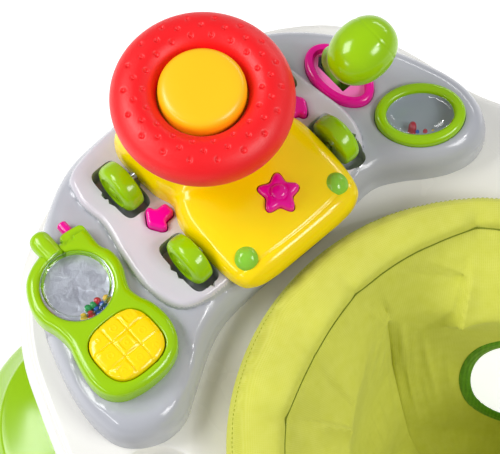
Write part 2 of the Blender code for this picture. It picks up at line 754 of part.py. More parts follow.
# ---------------------------------------------------------------- arrows


def arrow_outline(side):
    """An arrow that points away from the car, with a short shaft."""
    half = [(0.0110, 0.0), (0.0045, 0.0105), (0.0005, 0.0110), (-0.0015, 0.0055), (-0.0110, 0.0052)]
    points = half + [(x, -y) for x, y in reversed(half[1:])]
    return [Vector((side * x, y)) for x, y in points][::side]


def make_arrow_buttons(console, car, magenta):
    for side, name in ((-1, "left"), (1, "right")):
        x = CAR_X + side * (CAR_HALF_WIDTH + 0.0055)
        y = 0.2925
        low = PLATEAU_TOP - 0.0085
        top = PLATEAU_TOP + 0.0055
        arrow = arrow_outline(side)
        levels = [(0.0, low), (0.0, top - 0.0015), (0.0012, top)]
        add_object(name + "_arrow_button", layered(arrow, levels), magenta, at=(x, y, 0.0))
        well = layered(inset(arrow, -BUTTON_GAP), [(0.0, low - BUTTON_TRAVEL - GAP), (0.0, top + 0.0035)])
        shape = form(name + "_arrow_well", well, at=(x, y, 0.0))
        combine(console, shape)
        combine(car, shape)


# ---------------------------------------------------------------- steering wheel


def make_steering(red, yellow, grey):
    z = STEERING_HEIGHT
    r = STEERING_RADIUS
    pocket = STEERING_HUB_RADIUS + 0.0012
    bore = COLUMN_RADIUS + GAP
    profile = [
        (bore, z - 0.0080), (0.0340, z - 0.0080), (0.0400, z - 0.0150), (0.0500, z - 0.0190),
        (0.0610, z - 0.0150), (r, z - 0.0015), (r - 0.0028, z + 0.0120), (0.0570, z + 0.0210),
        (0.0460, z + 0.0215), (0.0380, z + 0.0165),
        (pocket, z + 0.0090), (pocket, z + 0.0010), (bore, z + 0.0010),
    ]
    place = (*STEERING_PLACE, 0.0)
    add_object("steering_wheel", turned(profile, 32, ring=True), red, at=place)
    low = CAR_FLOOR + 0.016
    column = [(0.0, low), (COLUMN_RADIUS, low), (COLUMN_RADIUS, z + 0.0008), (0.0, z + 0.0008)]
    add_object("steering_column", turned(column, 20), grey, at=place)
    floor = z + 0.0010 + HORN_TRAVEL + GAP
    h = STEERING_HUB_RADIUS
    horn = [(0.0, floor), (h - 0.0015, floor), (h, floor + 0.0020), (h, floor + 0.0130),
            (h - 0.0022, floor + 0.0178), (h - 0.0080, floor + 0.0203), (0.0, floor + 0.0216)]
    add_object("horn_button", turned(horn, 28), yellow, at=place)


# ---------------------------------------------------------------- phone

PHONE_X = -0.1555
PHONE_WINDOW_Y = 0.2900
PHONE_KEYS = (-0.158, 0.2290)
PHONE_TOP = WING_TOP + 0.0155
PHONE_WINDOW_RADIUS = 0.0280


def phone_outline(count=40):
    child_side = [(-0.1205, 0.3045), (-0.1170, 0.2900), (-0.1200, 0.2770), (-0.1260, 0.2660),
                  (-0.1255, 0.2550), (-0.1205, 0.2410), (-0.1200, 0.2230),
                  (-0.1270, 0.2070), (-0.1400, 0.1985)]
    outer_side = [(-0.1570, 0.1960), (-0.1740, 0.1975), (-0.1880, 0.2030), (-0.1960, 0.2150),
                  (-0.1965, 0.2300), (-0.1935, 0.2450), (-0.1895, 0.2600), (-0.1905, 0.2740),
                  (-0.1940, 0.2890), (-0.1900, 0.3060), (-0.1780, 0.3210)]
    return outline_through(child_side + outer_side + [(-0.1555, 0.3280), (-0.1340, 0.3210)], count)


def key_outline(grow=0.0):
    return rounded_box(0.0262 + grow, 0.0240 + grow, 2.9, 22, PHONE_KEYS)


def bead_heap(name, places, radius, material):
    """Loose beads as one body: each is sunk a hair into its neighbour."""
    heap = None
    for i, place in enumerate(places):
        bm = bmesh.new()
        bmesh.ops.create_uvsphere(bm, u_segments=8, v_segments=6, radius=radius)
        if heap is None:
            heap = add_object(name, bm, material, at=place)
        else:
            combine(heap, form(name + "_" + str(i), bm, at=place), "UNION")


def make_phone(console, materials):
    outline = phone_outline()
    low = SEATED + GAP
    levels = [(0.0004, low), (0.0004, low + 0.004), (0.0, low + 0.006), (0.0010, PHONE_TOP - 0.005),
              (0.0038, PHONE_TOP - 0.0015), (0.0066, PHONE_TOP)]
    phone = add_object("phone_body", layered(outline, levels), materials["green"])
    corners = [(-0.140, 0.310), (-0.1215, 0.303), (-0.1205, 0.3235), (-0.1235, 0.3275), (-0.1375, 0.3295),
               (-0.1410, 0.3270)]
    ear = [Vector(corner) for corner in corners]
    levels = [(0.0, low), (0.0, PHONE_TOP - 0.0045), (0.0012, PHONE_TOP - 0.0035)]
    combine(phone, form("phone_ear", layered(ear, levels)), "UNION")
    cut_prism(console, "phone_seat", inset(outline, -GAP), SEATED, PHONE_TOP)
    cut_prism(console, "phone_ear_seat", inset(ear, -GAP), SEATED, PHONE_TOP)
    cut_prism(console, "finger_dip", oval(0.0450, 0.0450, 24, (PHONE_X - 0.002, 0.2240)), SEATED, PHONE_TOP)
    floor = PHONE_TOP - 0.0125
    window = (PHONE_X, PHONE_WINDOW_Y)
    wide = PHONE_WINDOW_RADIUS - 0.001
    chamber = [(0.0, floor), (wide, floor), (wide, PHONE_TOP - 0.004),
               (PHONE_WINDOW_RADIUS + GAP, PHONE_TOP - 0.004), (PHONE_WINDOW_RADIUS + GAP, PHONE_TOP - 0.001),
               (PHONE_WINDOW_RADIUS + 0.0015, PHONE_TOP + 0.001), (0.0, PHONE_TOP + 0.001)]
    combine(phone, form("phone_chamber", turned(chamber, 24), at=(*window, 0.0)))
    foil = [(0.0, floor + GAP), (PHONE_WINDOW_RADIUS - 0.0014, floor + GAP),
            (PHONE_WINDOW_RADIUS - 0.0014, floor + 0.0012), (0.0, floor + 0.0012)]
    add_object("phone_mirror", turned(foil, 20), materials["foil"], at=(*window, 0.0))
    lens_low = PHONE_TOP - 0.004 + GAP
    lens = [(0.0, lens_low), (PHONE_WINDOW_RADIUS, lens_low), (PHONE_WINDOW_RADIUS, PHONE_TOP - 0.0020),
            (PHONE_WINDOW_RADIUS - 0.003, PHONE_TOP - 0.0010), (0.0, PHONE_TOP)]
    add_object("phone_window", turned(lens, 24), materials["clear"], at=(*window, 0.0))
    make_phone_beads(window, floor + 0.0012, materials["bead_blue"])
    make_phone_buttons(phone, console, low, materials)


def make_phone_beads(window, floor, material):
    """Two nested rows of beads that have rolled to the side nearest the seat."""
    height = floor + BEAD_RADIUS + GAP
    places = []
    reach = PHONE_WINDOW_RADIUS - 0.0014 - BEAD_RADIUS
    step = 2 * math.asin(BEAD_STEP / 2 / reach)
    for row, count in ((0, 5), (1, 3)):
        radius = reach - row * BEAD_STEP * 0.866
        for i in range(count):
            angle = math.radians(-90) + (i - (count - 1) / 2) * step
            x = window[0] + radius * math.cos(angle)
            y = window[1] + radius * math.sin(angle)
            places.append((x, y, height))
    bead_heap("phone_beads", places, BEAD_RADIUS, material)


def make_phone_buttons(phone, console, low, materials):
    key_low = PHONE_TOP - 0.0060
    levels = [(0.0, key_low), (0.0, PHONE_TOP + 0.0012), (0.0012, PHONE_TOP + 0.0030),
              (0.0040, PHONE_TOP + 0.0040)]
    add_object("phone_keypad", layered(key_outline(), levels), materials["yellow"])
    cut_prism(phone, "key_well", key_outline(BUTTON_GAP), key_low - BUTTON_TRAVEL - GAP, PHONE_TOP + 0.01)
    # two stubs stand out of the phone's far end, away from the seat
    forward = Matrix.Rotation(math.radians(-90), 3, "X")
    antenna = [(0.0, -0.0060), (0.0082, -0.0060), (0.0088, 0.0090), (0.0076, 0.0140), (0.0045, 0.0172),
               (0.0, 0.0182)]
    place = (PHONE_X + 0.0025, PHONE_WINDOW_Y + 0.0350, PHONE_TOP - 0.0050)
    add_object("phone_antenna", turned(antenna, 16), materials["green"], at=place, turn=forward)
    socket = [(0.0, -0.0063), (0.0082 + GAP, -0.0063), (0.0088 + GAP, 0.0090), (0.0088 + GAP, 0.022),
              (0.0, 0.022)]
    shape = form("antenna_socket", turned(socket, 16), at=place, turn=forward)
    combine(phone, shape)
    combine(console, shape)
    wide = 0.0043
    reach = 0.0110
    back = 0.0080
    pin = [(0.0, -back), (wide, -back), (wide, reach - 0.0035), (wide * 0.72, reach - 0.0010), (0.0, reach)]
    place = (-0.1315, PHONE_WINDOW_Y + 0.0385, PHONE_TOP - 0.0092)
    add_object("phone_pin_button", turned(pin, 12), materials["magenta"], at=place, turn=forward)
    back += BUTTON_TRAVEL + GAP
    hole = [(0.0, -back), (wide + GAP, -back), (wide + GAP, 0.030), (0.0, 0.030)]
    shape = form("pin_hole", turned(hole, 12), at=place, turn=forward)
    combine(phone, shape)
    combine(console, shape)


# ---------------------------------------------------------------- gear lever

GEAR_PLACE = (0.1130, 0.2925)
GEAR_PIVOT_HEIGHT = DECK_HEIGHT + 0.0110
GEAR_KNOB = (0.1165, 0.2740, DECK_HEIGHT + 0.1020)
STALK_RADIUS = 0.0048


def make_gear(console, materials):
    x, y = GEAR_PLACE
    plate_top = WING_TOP + 0.0065
    outline = oval(0.0320, 0.0205, 28, GEAR_PLACE, math.radians(94))
    low = SEATED + GAP
    levels = [(0.0, low), (0.0, plate_top - 0.0030), (0.0015, plate_top - 0.0008), (0.0040, plate_top)]
    plate = add_object("gear_plate", layered(outline, levels), materials["magenta"])
    cut_prism(console, "gear_seat", inset(outline, -GAP), SEATED, plate_top)
    dish = [(0.0090, low + 0.0030), (0.0075, low + 0.0034), (0.0062, plate_top + 0.001)]
    combine(plate, form("gear_dish", layered(outline, dish)))
    half = STALK_RADIUS + 0.0022
    slot = [Vector((x - half, y - 0.0120)), Vector((x + half, y - 0.0120)), Vector((x + half, y + 0.0170)),
            Vector((x, y + 0.0240)), Vector((x - half, y + 0.0170))]
    cut_prism(plate, "gear_slot", slot, SEATED - 0.01, plate_top + 0.01)
    bay = rounded_box(0.0105, 0.0270, 8, 16, (x, y + 0.001))
    cut_prism(console, "gear_bay", bay, DECK_HEIGHT + 0.0035, SEATED + 0.001)
    make_gear_lever(materials)


def make_gear_lever(materials):
    x, y = GEAR_PLACE
    pivot = Vector((x, y, GEAR_PIVOT_HEIGHT))
    knob = Vector(GEAR_KNOB)
    route = [pivot, pivot + Vector((0.0, 0.0095, 0.0170)), pivot + Vector((0.0, 0.0140, 0.0300)),
             pivot + Vector((0.0010, 0.0110, 0.0480)), knob + Vector((0.0, 0.0085, -0.0190))]
    rings = []
    for i, point in enumerate(route):
        before = route[max(0, i - 1)]
        after = route[min(len(route) - 1, i + 1)]
        along = (after - before).normalized()
        side = Vector((1.0, 0.0, 0.0))
        other = along.cross(side).normalized()
        radius = STALK_RADIUS
        ring = []
        for k in range(10):
            angle = 2 * math.pi * k / 10
            ring.append(point + radius * (math.cos(angle) * side + math.sin(angle) * other) - pivot)
        rings.append(ring)
    lever = add_object("gear_lever", bridged(rings), materials["green"], at=pivot)
    barrel = [(0.0, -0.0085), (0.0060, -0.0085), (0.0060, 0.0085), (0.0, 0.0085)]
    combine(lever, form("gear_pivot_barrel", turned(barrel, 14), at=pivot, turn=ALONG_X), "UNION")
    profile = []
    rings = 10
    for i in range(rings + 1):
        angle = math.pi * (i / rings - 0.5)
        radius = 0.0238 * max(0.0, math.cos(angle)) ** 0.90
        profile.append((radius if 0 < i < rings else 0.0, 0.0288 * math.sin(angle)))
    tilt = Vector((0.966, 0.0, 0.259)).to_track_quat("Z", "Y").to_matrix()
    grip = add_object("gear_knob", turned(profile, 20), materials["green"], at=knob, turn=tilt)
    tip = route[-1]
    way = (route[-1] - route[-2]).normalized()
    wide = STALK_RADIUS + 4 * GAP
    hole = [(0.0, -0.020), (wide, -0.020), (wide, 4 * GAP), (0.0, 4 * GAP)]
    combine(grip, form("knob_socket", turned(hole, 12), at=tip, turn=way.to_track_quat("Z", "Y").to_matrix()))


# ---------------------------------------------------------------- oval window

OVAL_PLACE = (0.1375, 0.2260)
OVAL_TURN = math.radians(-37)


def make_oval_window(console, materials):
    low = SEATED + GAP
    top = WING_TOP + 0.0060
    outer = oval(0.0355, 0.0264, 28, OVAL_PLACE, OVAL_TURN)
    inner = oval(0.0266, 0.0180, 28, OVAL_PLACE, OVAL_TURN)
    rings = []
    for distance, height in [(0.0, low), (0.0, top - 0.0030), (0.0020, top - 0.0006), (0.0045, top)]:
        rings.append([(p.x, p.y, height) for p in inset(outer, distance)])
    for distance, height in [(-0.0006, top - 0.0012), (0.0, top - 0.0035), (0.0, low)]:
        rings.append([(p.x, p.y, height) for p in inset(inner, distance)])
    add_object("oval_ring", bridged(rings, closed_section=True), materials["green"])
    cut_prism(console, "oval_seat", inset(outer, -GAP), SEATED, top)
    floor = SEATED - 0.0080
    cut_prism(console, "oval_chamber", inset(inner, 0.0012), floor, top)
    dome = [(GAP, low), (GAP, top - 0.0040), (0.0030, top - 0.0005), (0.0075, top + 0.0022),
            (0.0130, top + 0.0036)]
    add_object("oval_dome", layered(inner, dome), materials["clear"])
    along = Vector((math.cos(OVAL_TURN), math.sin(OVAL_TURN)))
    towards_seat = Vector((along.y, -along.x))
    places = []
    for step_along, row in ((-1.5, 0), (-0.5, 0), (0.5, 0), (1.5, 0), (-1.0, 1)):
        drop = 0.0098 - 0.866 * BEAD_STEP * row
        spot = Vector(OVAL_PLACE) + along * step_along * BEAD_STEP + towards_seat * drop
        places.append((spot.x, spot.y, floor + BEAD_RADIUS + GAP))
    bead_heap("oval_beads", places, BEAD_RADIUS, materials["bead_blue"])


# ---------------------------------------------------------------- electronics


def make_electronics(materials):
    y = 0.292
    low = DECK_HEIGHT + 0.012
    board = rounded_box(BOARD_BAY[0] / 2 - 0.004, BOARD_BAY[1] / 2 - 0.004, 14, 16, (CAR_X, y))
    add_object("circuit_board", layered(board, [(0.0, low), (0.0, low + 0.0016)]), materials["board_green"])
    speaker = [(0.0, 0.0), (0.019, 0.0), (0.020, 0.001), (0.020, 0.003), (0.012, 0.0065), (0.012, 0.0095),
               (0.0, 0.0095)]
    place = (CAR_X, y + 0.030, DECK_HEIGHT + GAP * 2)
    add_object("speaker", turned(speaker, 16), materials["dark_rubber"], at=place)


# ---------------------------------------------------------------- everything


def main():
    clear_scene()
    materials = {name: plain_material(name) for name in FINISHES}
    green = materials["green"]
    cream = materials["cream"]
    grey = materials["grey"]
    magenta = materials["magenta"]
    make_base(green, cream, materials["dark_rubber"])
    make_legs(cream, materials["steel"])
    make_tray(cream)
    make_seat(grey, materials["seat_cloth"])
    console = make_console(grey)
    car = make_car(materials["yellow"], materials["steel"], green, magenta)
    make_arrow_buttons(console, car, magenta)
    make_steering(materials["red"], materials["yellow"], grey)
    make_phone(console, materials)
    make_gear(console, materials)
    make_oval_window(console, materials)
    make_electronics(materials)


main()
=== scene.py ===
"""The looks of a baby's activity jumper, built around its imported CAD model.

Everything is in metres in the row frame: +Z up, +Y from the seat to the toy console.
"""

import math
import random

import bmesh
import bpy
import numpy as np
from mathutils import Matrix, Vector
from mathutils.bvhtree import BVHTree
from mathutils.geometry import delaunay_2d_cdt


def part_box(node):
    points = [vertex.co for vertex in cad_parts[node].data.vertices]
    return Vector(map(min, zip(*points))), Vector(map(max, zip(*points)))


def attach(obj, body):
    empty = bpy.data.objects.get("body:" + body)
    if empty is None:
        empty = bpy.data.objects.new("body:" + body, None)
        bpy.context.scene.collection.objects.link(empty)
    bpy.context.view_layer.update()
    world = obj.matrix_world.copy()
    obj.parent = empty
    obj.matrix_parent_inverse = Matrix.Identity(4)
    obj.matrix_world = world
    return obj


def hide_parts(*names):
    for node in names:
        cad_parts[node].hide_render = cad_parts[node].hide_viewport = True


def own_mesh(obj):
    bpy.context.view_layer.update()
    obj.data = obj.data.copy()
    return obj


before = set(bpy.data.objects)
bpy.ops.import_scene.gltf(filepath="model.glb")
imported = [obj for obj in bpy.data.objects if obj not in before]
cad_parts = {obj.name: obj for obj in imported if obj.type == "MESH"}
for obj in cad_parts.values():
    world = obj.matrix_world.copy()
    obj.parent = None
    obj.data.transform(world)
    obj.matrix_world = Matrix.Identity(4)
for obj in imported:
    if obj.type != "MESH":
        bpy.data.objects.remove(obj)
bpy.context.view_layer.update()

MM = 0.001
HUBS = ["front_left", "front_right", "rear_left", "rear_right"]

# ---------------------------------------------------------------- numbers read from the frame


def low(node):
    return Vector(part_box(node)[0])


def high(node):
    return Vector(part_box(node)[1])


def middle(node):
    return (low(node) + high(node)) / 2


def cad_loops(node, height):
    """The closed outlines of a CAD node cut at a height, largest first, without points on straight runs."""
    bm = bmesh.new()
    bm.from_mesh(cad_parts[node].data)
    bmesh.ops.remove_doubles(bm, verts=bm.verts, dist=1e-6)
    cut = bmesh.ops.bisect_plane(
        bm, geom=bm.verts[:] + bm.edges[:] + bm.faces[:], plane_co=(0, 0, height), plane_no=(0, 0, 1)
    )["geom_cut"]
    edges = {edge for edge in cut if isinstance(edge, bmesh.types.BMEdge)}
    loops = []
    while edges:
        edge = edges.pop()
        start, here = edge.verts
        loop = [start, here]
        while here is not start:
            step = next((e for e in here.link_edges if e in edges), None)
            if step is None:
                break
            edges.discard(step)
            here = step.other_vert(here)
            loop.append(here)
        loops.append(np.array([vert.co.xy[:] for vert in loop[:-1]]))
    bm.free()
    loops = [without_straight_points(loop) for loop in loops if len(loop) > 4]
    loops = [loop if area(loop) > 0 else loop[::-1] for loop in loops]
    return sorted(loops, key=area, reverse=True)


def area(loop):
    after = np.roll(loop, -1, axis=0)
    return float((loop[:, 0] * after[:, 1] - after[:, 0] * loop[:, 1]).sum() / 2)


def without_straight_points(loop, least=0.04 * MM):
    before = np.roll(loop, 1, axis=0)
    run = np.roll(loop, -1, axis=0) - before
    side = loop - before
    off = np.abs(run[:, 0] * side[:, 1] - run[:, 1] * side[:, 0]) / np.maximum(np.hypot(*run.T), 1e-9)
    return loop[off > least]


# ---------------------------------------------------------------- curves


def smooth_loop(points, count):
    """A closed curve through the points as evenly spaced corners, counter-clockwise."""
    points = np.asarray(points, float)
    steps = np.linspace(0, 1, 24, endpoint=False)[:, None]
    dense = []
    for i in range(len(points)):
        a, b, c, d = (points[(i + k) % len(points)] for k in (-1, 0, 1, 2))
        dense.append(catmull(a, b, c, d, steps))
    return evenly(np.concatenate(dense), count)


def catmull(a, b, c, d, t):
    return 0.5 * (2 * b + (c - a) * t + (2 * a - 5 * b + 4 * c - d) * t**2 + (3 * b - a - 3 * c + d) * t**3)


def evenly(loop, count):
    closed = np.vstack([loop, loop[:1]])
    lengths = np.concatenate([[0], np.cumsum(np.hypot(*np.diff(closed, axis=0).T))])
    at = np.linspace(0, lengths[-1], count, endpoint=False)
    return np.stack([np.interp(at, lengths, closed[:, k]) for k in (0, 1)], axis=1)


def smooth_path(points, steps=8):
    """An open curve through the points; a point given twice is a corner."""
    points = [np.asarray(point, float) for point in points]
    path = []
    for i in range(len(points) - 1):
        b, c = points[i], points[i + 1]
        if np.allclose(b, c):
            continue
        a = points[i - 1] if i > 0 else 2 * b - c
        d = points[i + 2] if i + 2 < len(points) else 2 * c - b
        a = 2 * b - c if np.allclose(a, b) else a
        d = 2 * c - b if np.allclose(d, c) else d
        path += [catmull(a, b, c, d, t) for t in np.linspace(0, 1, steps, endpoint=False)]
    return path + [points[-1]]


def moved_in(loop, distance):
    """The loop moved inwards, or outwards where the distance is negative."""
    along = np.roll(loop, -1, axis=0) - np.roll(loop, 1, axis=0)
    along /= np.maximum(np.hypot(*along.T)[:, None], 1e-9)
    return loop + distance * np.stack([-along[:, 1], along[:, 0]], axis=1)


def depth_inside(points, loop):
    """How far each point lies inside a closed loop; outside it is negative."""
    points = np.asarray(points, float)
    start = loop
    run = np.roll(loop, -1, axis=0) - start
    result = np.empty(len(points))
    for k in range(0, len(points), 4000):
        part = points[k:k + 4000]
        to = part[:, None, :] - start[None]
        t = np.clip((to * run).sum(-1) / np.maximum((run**2).sum(-1), 1e-18), 0, 1)
        gap = to - t[..., None] * run
        near = np.sqrt((gap**2).sum(-1).min(axis=1))
        y = part[:, 1:2]
        spans = (start[:, 1] > y) != (start[:, 1] + run[:, 1] > y)
        rise = np.where(np.abs(run[:, 1]) < 1e-12, 1e-12, run[:, 1])
        crossed = spans & (part[:, :1] < start[:, 0] + run[:, 0] * (y - start[:, 1]) / rise)
        result[k:k + 4000] = np.where(crossed.sum(axis=1) % 2 == 1, near, -near)
    return result


def ramp(value, start, end):
    """0 before start, 1 after end, eased between."""
    t = np.clip((value - start) / (end - start), 0, 1)
    return t * t * (3 - 2 * t)


def bump(value, width):
    return np.exp(-((value / width) ** 2))


def shoulder(depth, width, power=2.2):
    """The rounded edge of a moulding: 0 at its rim, 1 from a width inwards."""
    t = 1 - np.clip(depth / width, 0, 1)
    return (1 - t**power) ** (1 / power)


def oval(half_long, half_wide, centre, turn=0.0, count=160):
    angle = np.linspace(0, 2 * math.pi, count, endpoint=False)
    x = half_long * np.cos(angle)
    y = half_wide * np.sin(angle)
    c, s = math.cos(turn), math.sin(turn)
    return np.stack([centre[0] + c * x - s * y, centre[1] + s * x + c * y], axis=1)


def squircle(half_x, half_y, power, centre, count=160):
    angle = np.linspace(0, 2 * math.pi, count, endpoint=False)
    c, s = np.cos(angle), np.sin(angle)
    x = np.sign(c) * np.abs(c) ** (2 / power) * half_x
    y = np.sign(s) * np.abs(s) ** (2 / power) * half_y
    return np.stack([centre[0] + x, centre[1] + y], axis=1)


# ---------------------------------------------------------------- meshes


def new_mesh(name, points, faces, edges=()):
    mesh = bpy.data.meshes.new(name)
    mesh.from_pydata([tuple(map(float, p)) for p in points], list(edges),
                     [tuple(map(int, f)) for f in faces])
    return mesh


def new_object(name, data):
    obj = bpy.data.objects.new(name, data)
    bpy.context.scene.collection.objects.link(obj)
    return obj


def clean(mesh):
    """Joins points that lie together and turns every face outwards."""
    bm = bmesh.new()
    bm.from_mesh(mesh)
    bmesh.ops.remove_doubles(bm, verts=bm.verts, dist=1e-7)
    bmesh.ops.recalc_face_normals(bm, faces=bm.faces)
    bm.to_mesh(mesh)
    bm.free()


def piece(name, points, faces, material, body, replaced=(), smooth_angle=45, slot=None):
    mesh = new_mesh(name, points, faces)
    mesh.validate()
    return finished(new_object(name, mesh), material, body, replaced, smooth_angle)


def finished(obj, material, body, replaced=(), smooth_angle=45):
    mesh = obj.data
    clean(mesh)
    mesh.materials.clear()
    mesh.materials.append(material)
    mesh.shade_smooth()
    mesh.set_sharp_from_angle(angle=math.radians(smooth_angle))
    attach(obj, body)
    if replaced:
        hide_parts(*replaced)
    return obj


def skin(rings, ends=True, closed=False):
    """Points and faces over rings of equal length, with flat ends or joined last to first."""
    count = len(rings[0])
    points = [point for ring in rings for point in ring]
    faces = []
    pairs = len(rings) if closed else len(rings) - 1
    for k in range(pairs):
        a = k * count
        b = (k + 1) % len(rings) * count
        faces += [(a + i, a + (i + 1) % count, b + (i + 1) % count, b + i) for i in range(count)]
    if ends and not closed:
        faces.append(tuple(range(count)))
        faces.append(tuple(range(len(points) - count, len(points))))
    return points, faces


def turned(profile, segments, centre=(0, 0, 0), axis=None, closed=False):
    """Points and faces turned about Z from (radius, height) points, then leant along an axis."""
    lean = axis.to_track_quat("Z", "Y").to_matrix() if axis else Matrix.Identity(3)
    angle = np.linspace(0, 2 * math.pi, segments, endpoint=False)
    rings = []
    for radius, height in profile:
        r = max(float(radius), 1e-6)
        ring = np.stack([r * np.cos(angle), r * np.sin(angle), np.full(segments, height)], axis=1)
        rings.append(ring @ np.array(lean).T + np.array(centre))
    return skin(rings, ends=True, closed=closed)


def swept(path, section, side=(0, 0, 1), closed=False):
    """Points and faces of a section (across, up) carried along a path."""
    path = np.asarray(path, float)
    ahead = np.roll(path, -1, axis=0) - np.roll(path, 1, axis=0)
    if not closed:
        ahead[0], ahead[-1] = path[1] - path[0], path[-1] - path[-2]
    ahead /= np.linalg.norm(ahead, axis=1)[:, None]
    up = np.broadcast_to(np.asarray(side, float), path.shape)
    across = np.cross(ahead, up)
    across /= np.linalg.norm(across, axis=1)[:, None]
    up = np.cross(across, ahead)
    rings = [[p + u * a + v * b for u, v in section] for p, a, b in zip(path, across, up)]
    return skin(rings, closed=closed)


def relief(rim, height, spacing, bands, base):
    """Points and faces of a moulding with one flat underside: its top follows a height at each place.

    bands are (loop, offsets): rows of points along a loop, so that edges there stay crisp.
    """
    rows = [rim]
    bars = []
    for loop, offsets in bands:
        for offset in offsets:
            row = moved_in(loop, offset)
            true = np.abs(depth_inside(row, loop))
            rows.append(row[(true > abs(offset) * 0.93 - 1e-6) & (depth_inside(row, rim) > 0.25 * MM)])
        bars.append((loop, min(offsets) - spacing * 0.5, max(offsets) + spacing * 0.5))
    lo, hi = rim.min(axis=0), rim.max(axis=0)
    ys = np.arange(lo[1], hi[1], spacing * 0.866)
    grid = [
        np.stack([np.arange(lo[0] + (k % 2) * spacing / 2, hi[0], spacing), np.full(
            len(np.arange(lo[0] + (k % 2) * spacing / 2, hi[0], spacing)), y)], axis=1)
        for k, y in enumerate(ys)
    ]
    grid = np.concatenate(grid)
    keep = depth_inside(grid, rim) > spacing * 0.6
    for loop, start, end in bars:
        deep = depth_inside(grid, loop)
        keep &= (deep < start) | (deep > end)
    inner = np.concatenate(rows[1:] + [grid[keep]])
    _, first = np.unique(np.round(inner / (0.12 * MM)), axis=0, return_index=True)
    flat = np.concatenate([rim, inner[np.sort(first)]])
    count = len(rim)
    edges = [(i, (i + 1) % count) for i in range(count)]
    out = delaunay_2d_cdt([Vector(p) for p in flat.tolist()], edges, [], 1, 1e-8)
    spots = np.array([v[:] for v in out[0]])
    faces = [tuple(face) for face in out[2]]
    z = height(spots)
    points = np.column_stack([spots, z]).tolist()
    first_of = {origin: i for i, origins in enumerate(out[3]) for origin in origins}
    rim_now = [first_of[i] for i in range(count)]
    lower = len(points)
    points += [(x, y, base) for x, y in rim]
    for i in range(count):
        j = (i + 1) % count
        faces.append((lower + i, lower + j, rim_now[j], rim_now[i]))
    faces.append(tuple(range(lower + count - 1, lower - 1, -1)))
    return points, faces


# ---------------------------------------------------------------- materials


def linear(code):
    """An sRGB hex colour as linear red, green, blue and alpha."""
    parts = [int(code[i:i + 2], 16) / 255 for i in (1, 3, 5)]
    return (*[c / 12.92 if c <= 0.04045 else ((c + 0.055) / 1.055) ** 2.4 for c in parts], 1.0)


def add(tree, kind, inputs=None, **settings):
    """Adds a node with its settings; an input is a value, or a socket to link from."""
    node = tree.nodes.new(kind)
    for name, value in settings.items():
        setattr(node, name, value)
    for key, value in (inputs or {}).items():
        if isinstance(value, bpy.types.NodeSocket):
            tree.links.new(value, node.inputs[key])
        else:
            node.inputs[key].default_value = value
    return node


def new_material(name, **shader):
    """A material with a Principled shader, its values set by their socket names with _ for a space."""
    material = bpy.data.materials.new(name)
    material.use_nodes = True
    tree = material.node_tree
    principled = tree.nodes["Principled BSDF"]
    for key, value in shader.items():
        principled.inputs[key.replace("_", " ")].default_value = value
    return material, tree, principled


def moulded(name, colour, roughness, grain=0.8 * MM, relief_depth=0.02 * MM, flow=45 * MM, shift=0.02,
            **shader):
    """Injection-moulded plastic: fine grain as bump, and a slow drift of tone and gloss where it flowed."""
    material, tree, principled = new_material(name, **shader)
    place = add(tree, "ShaderNodeTexCoord").outputs["Object"]
    fine = add(tree, "ShaderNodeTexNoise", {"Vector": place, "Scale": 1 / grain, "Detail": 2.0})
    slow = add(tree, "ShaderNodeTexNoise",
               {"Vector": place, "Scale": 1 / flow, "Detail": 3.0, "Roughness": 0.6})
    tone = add(tree, "ShaderNodeMapRange", {"Value": slow.outputs["Fac"], "From Min": 0.3, "From Max": 0.7,
                                            "To Min": 1 - shift, "To Max": 1 + shift})
    hue = add(tree, "ShaderNodeHueSaturation", {"Color": linear(colour), "Value": tone.outputs[0]})
    gloss = add(tree, "ShaderNodeMapRange", {"Value": slow.outputs["Fac"], "From Min": 0.3, "From Max": 0.7,
                                             "To Min": roughness * 0.93, "To Max": roughness * 1.12})
    skin_bump = add(tree, "ShaderNodeBump", {"Height": fine.outputs["Fac"], "Distance": relief_depth,
                                             "Strength": 1.0})
    tree.links.new(hue.outputs["Color"], principled.inputs["Base Color"])
    tree.links.new(gloss.outputs[0], principled.inputs["Roughness"])
    tree.links.new(skin_bump.outputs["Normal"], principled.inputs["Normal"])
    return material


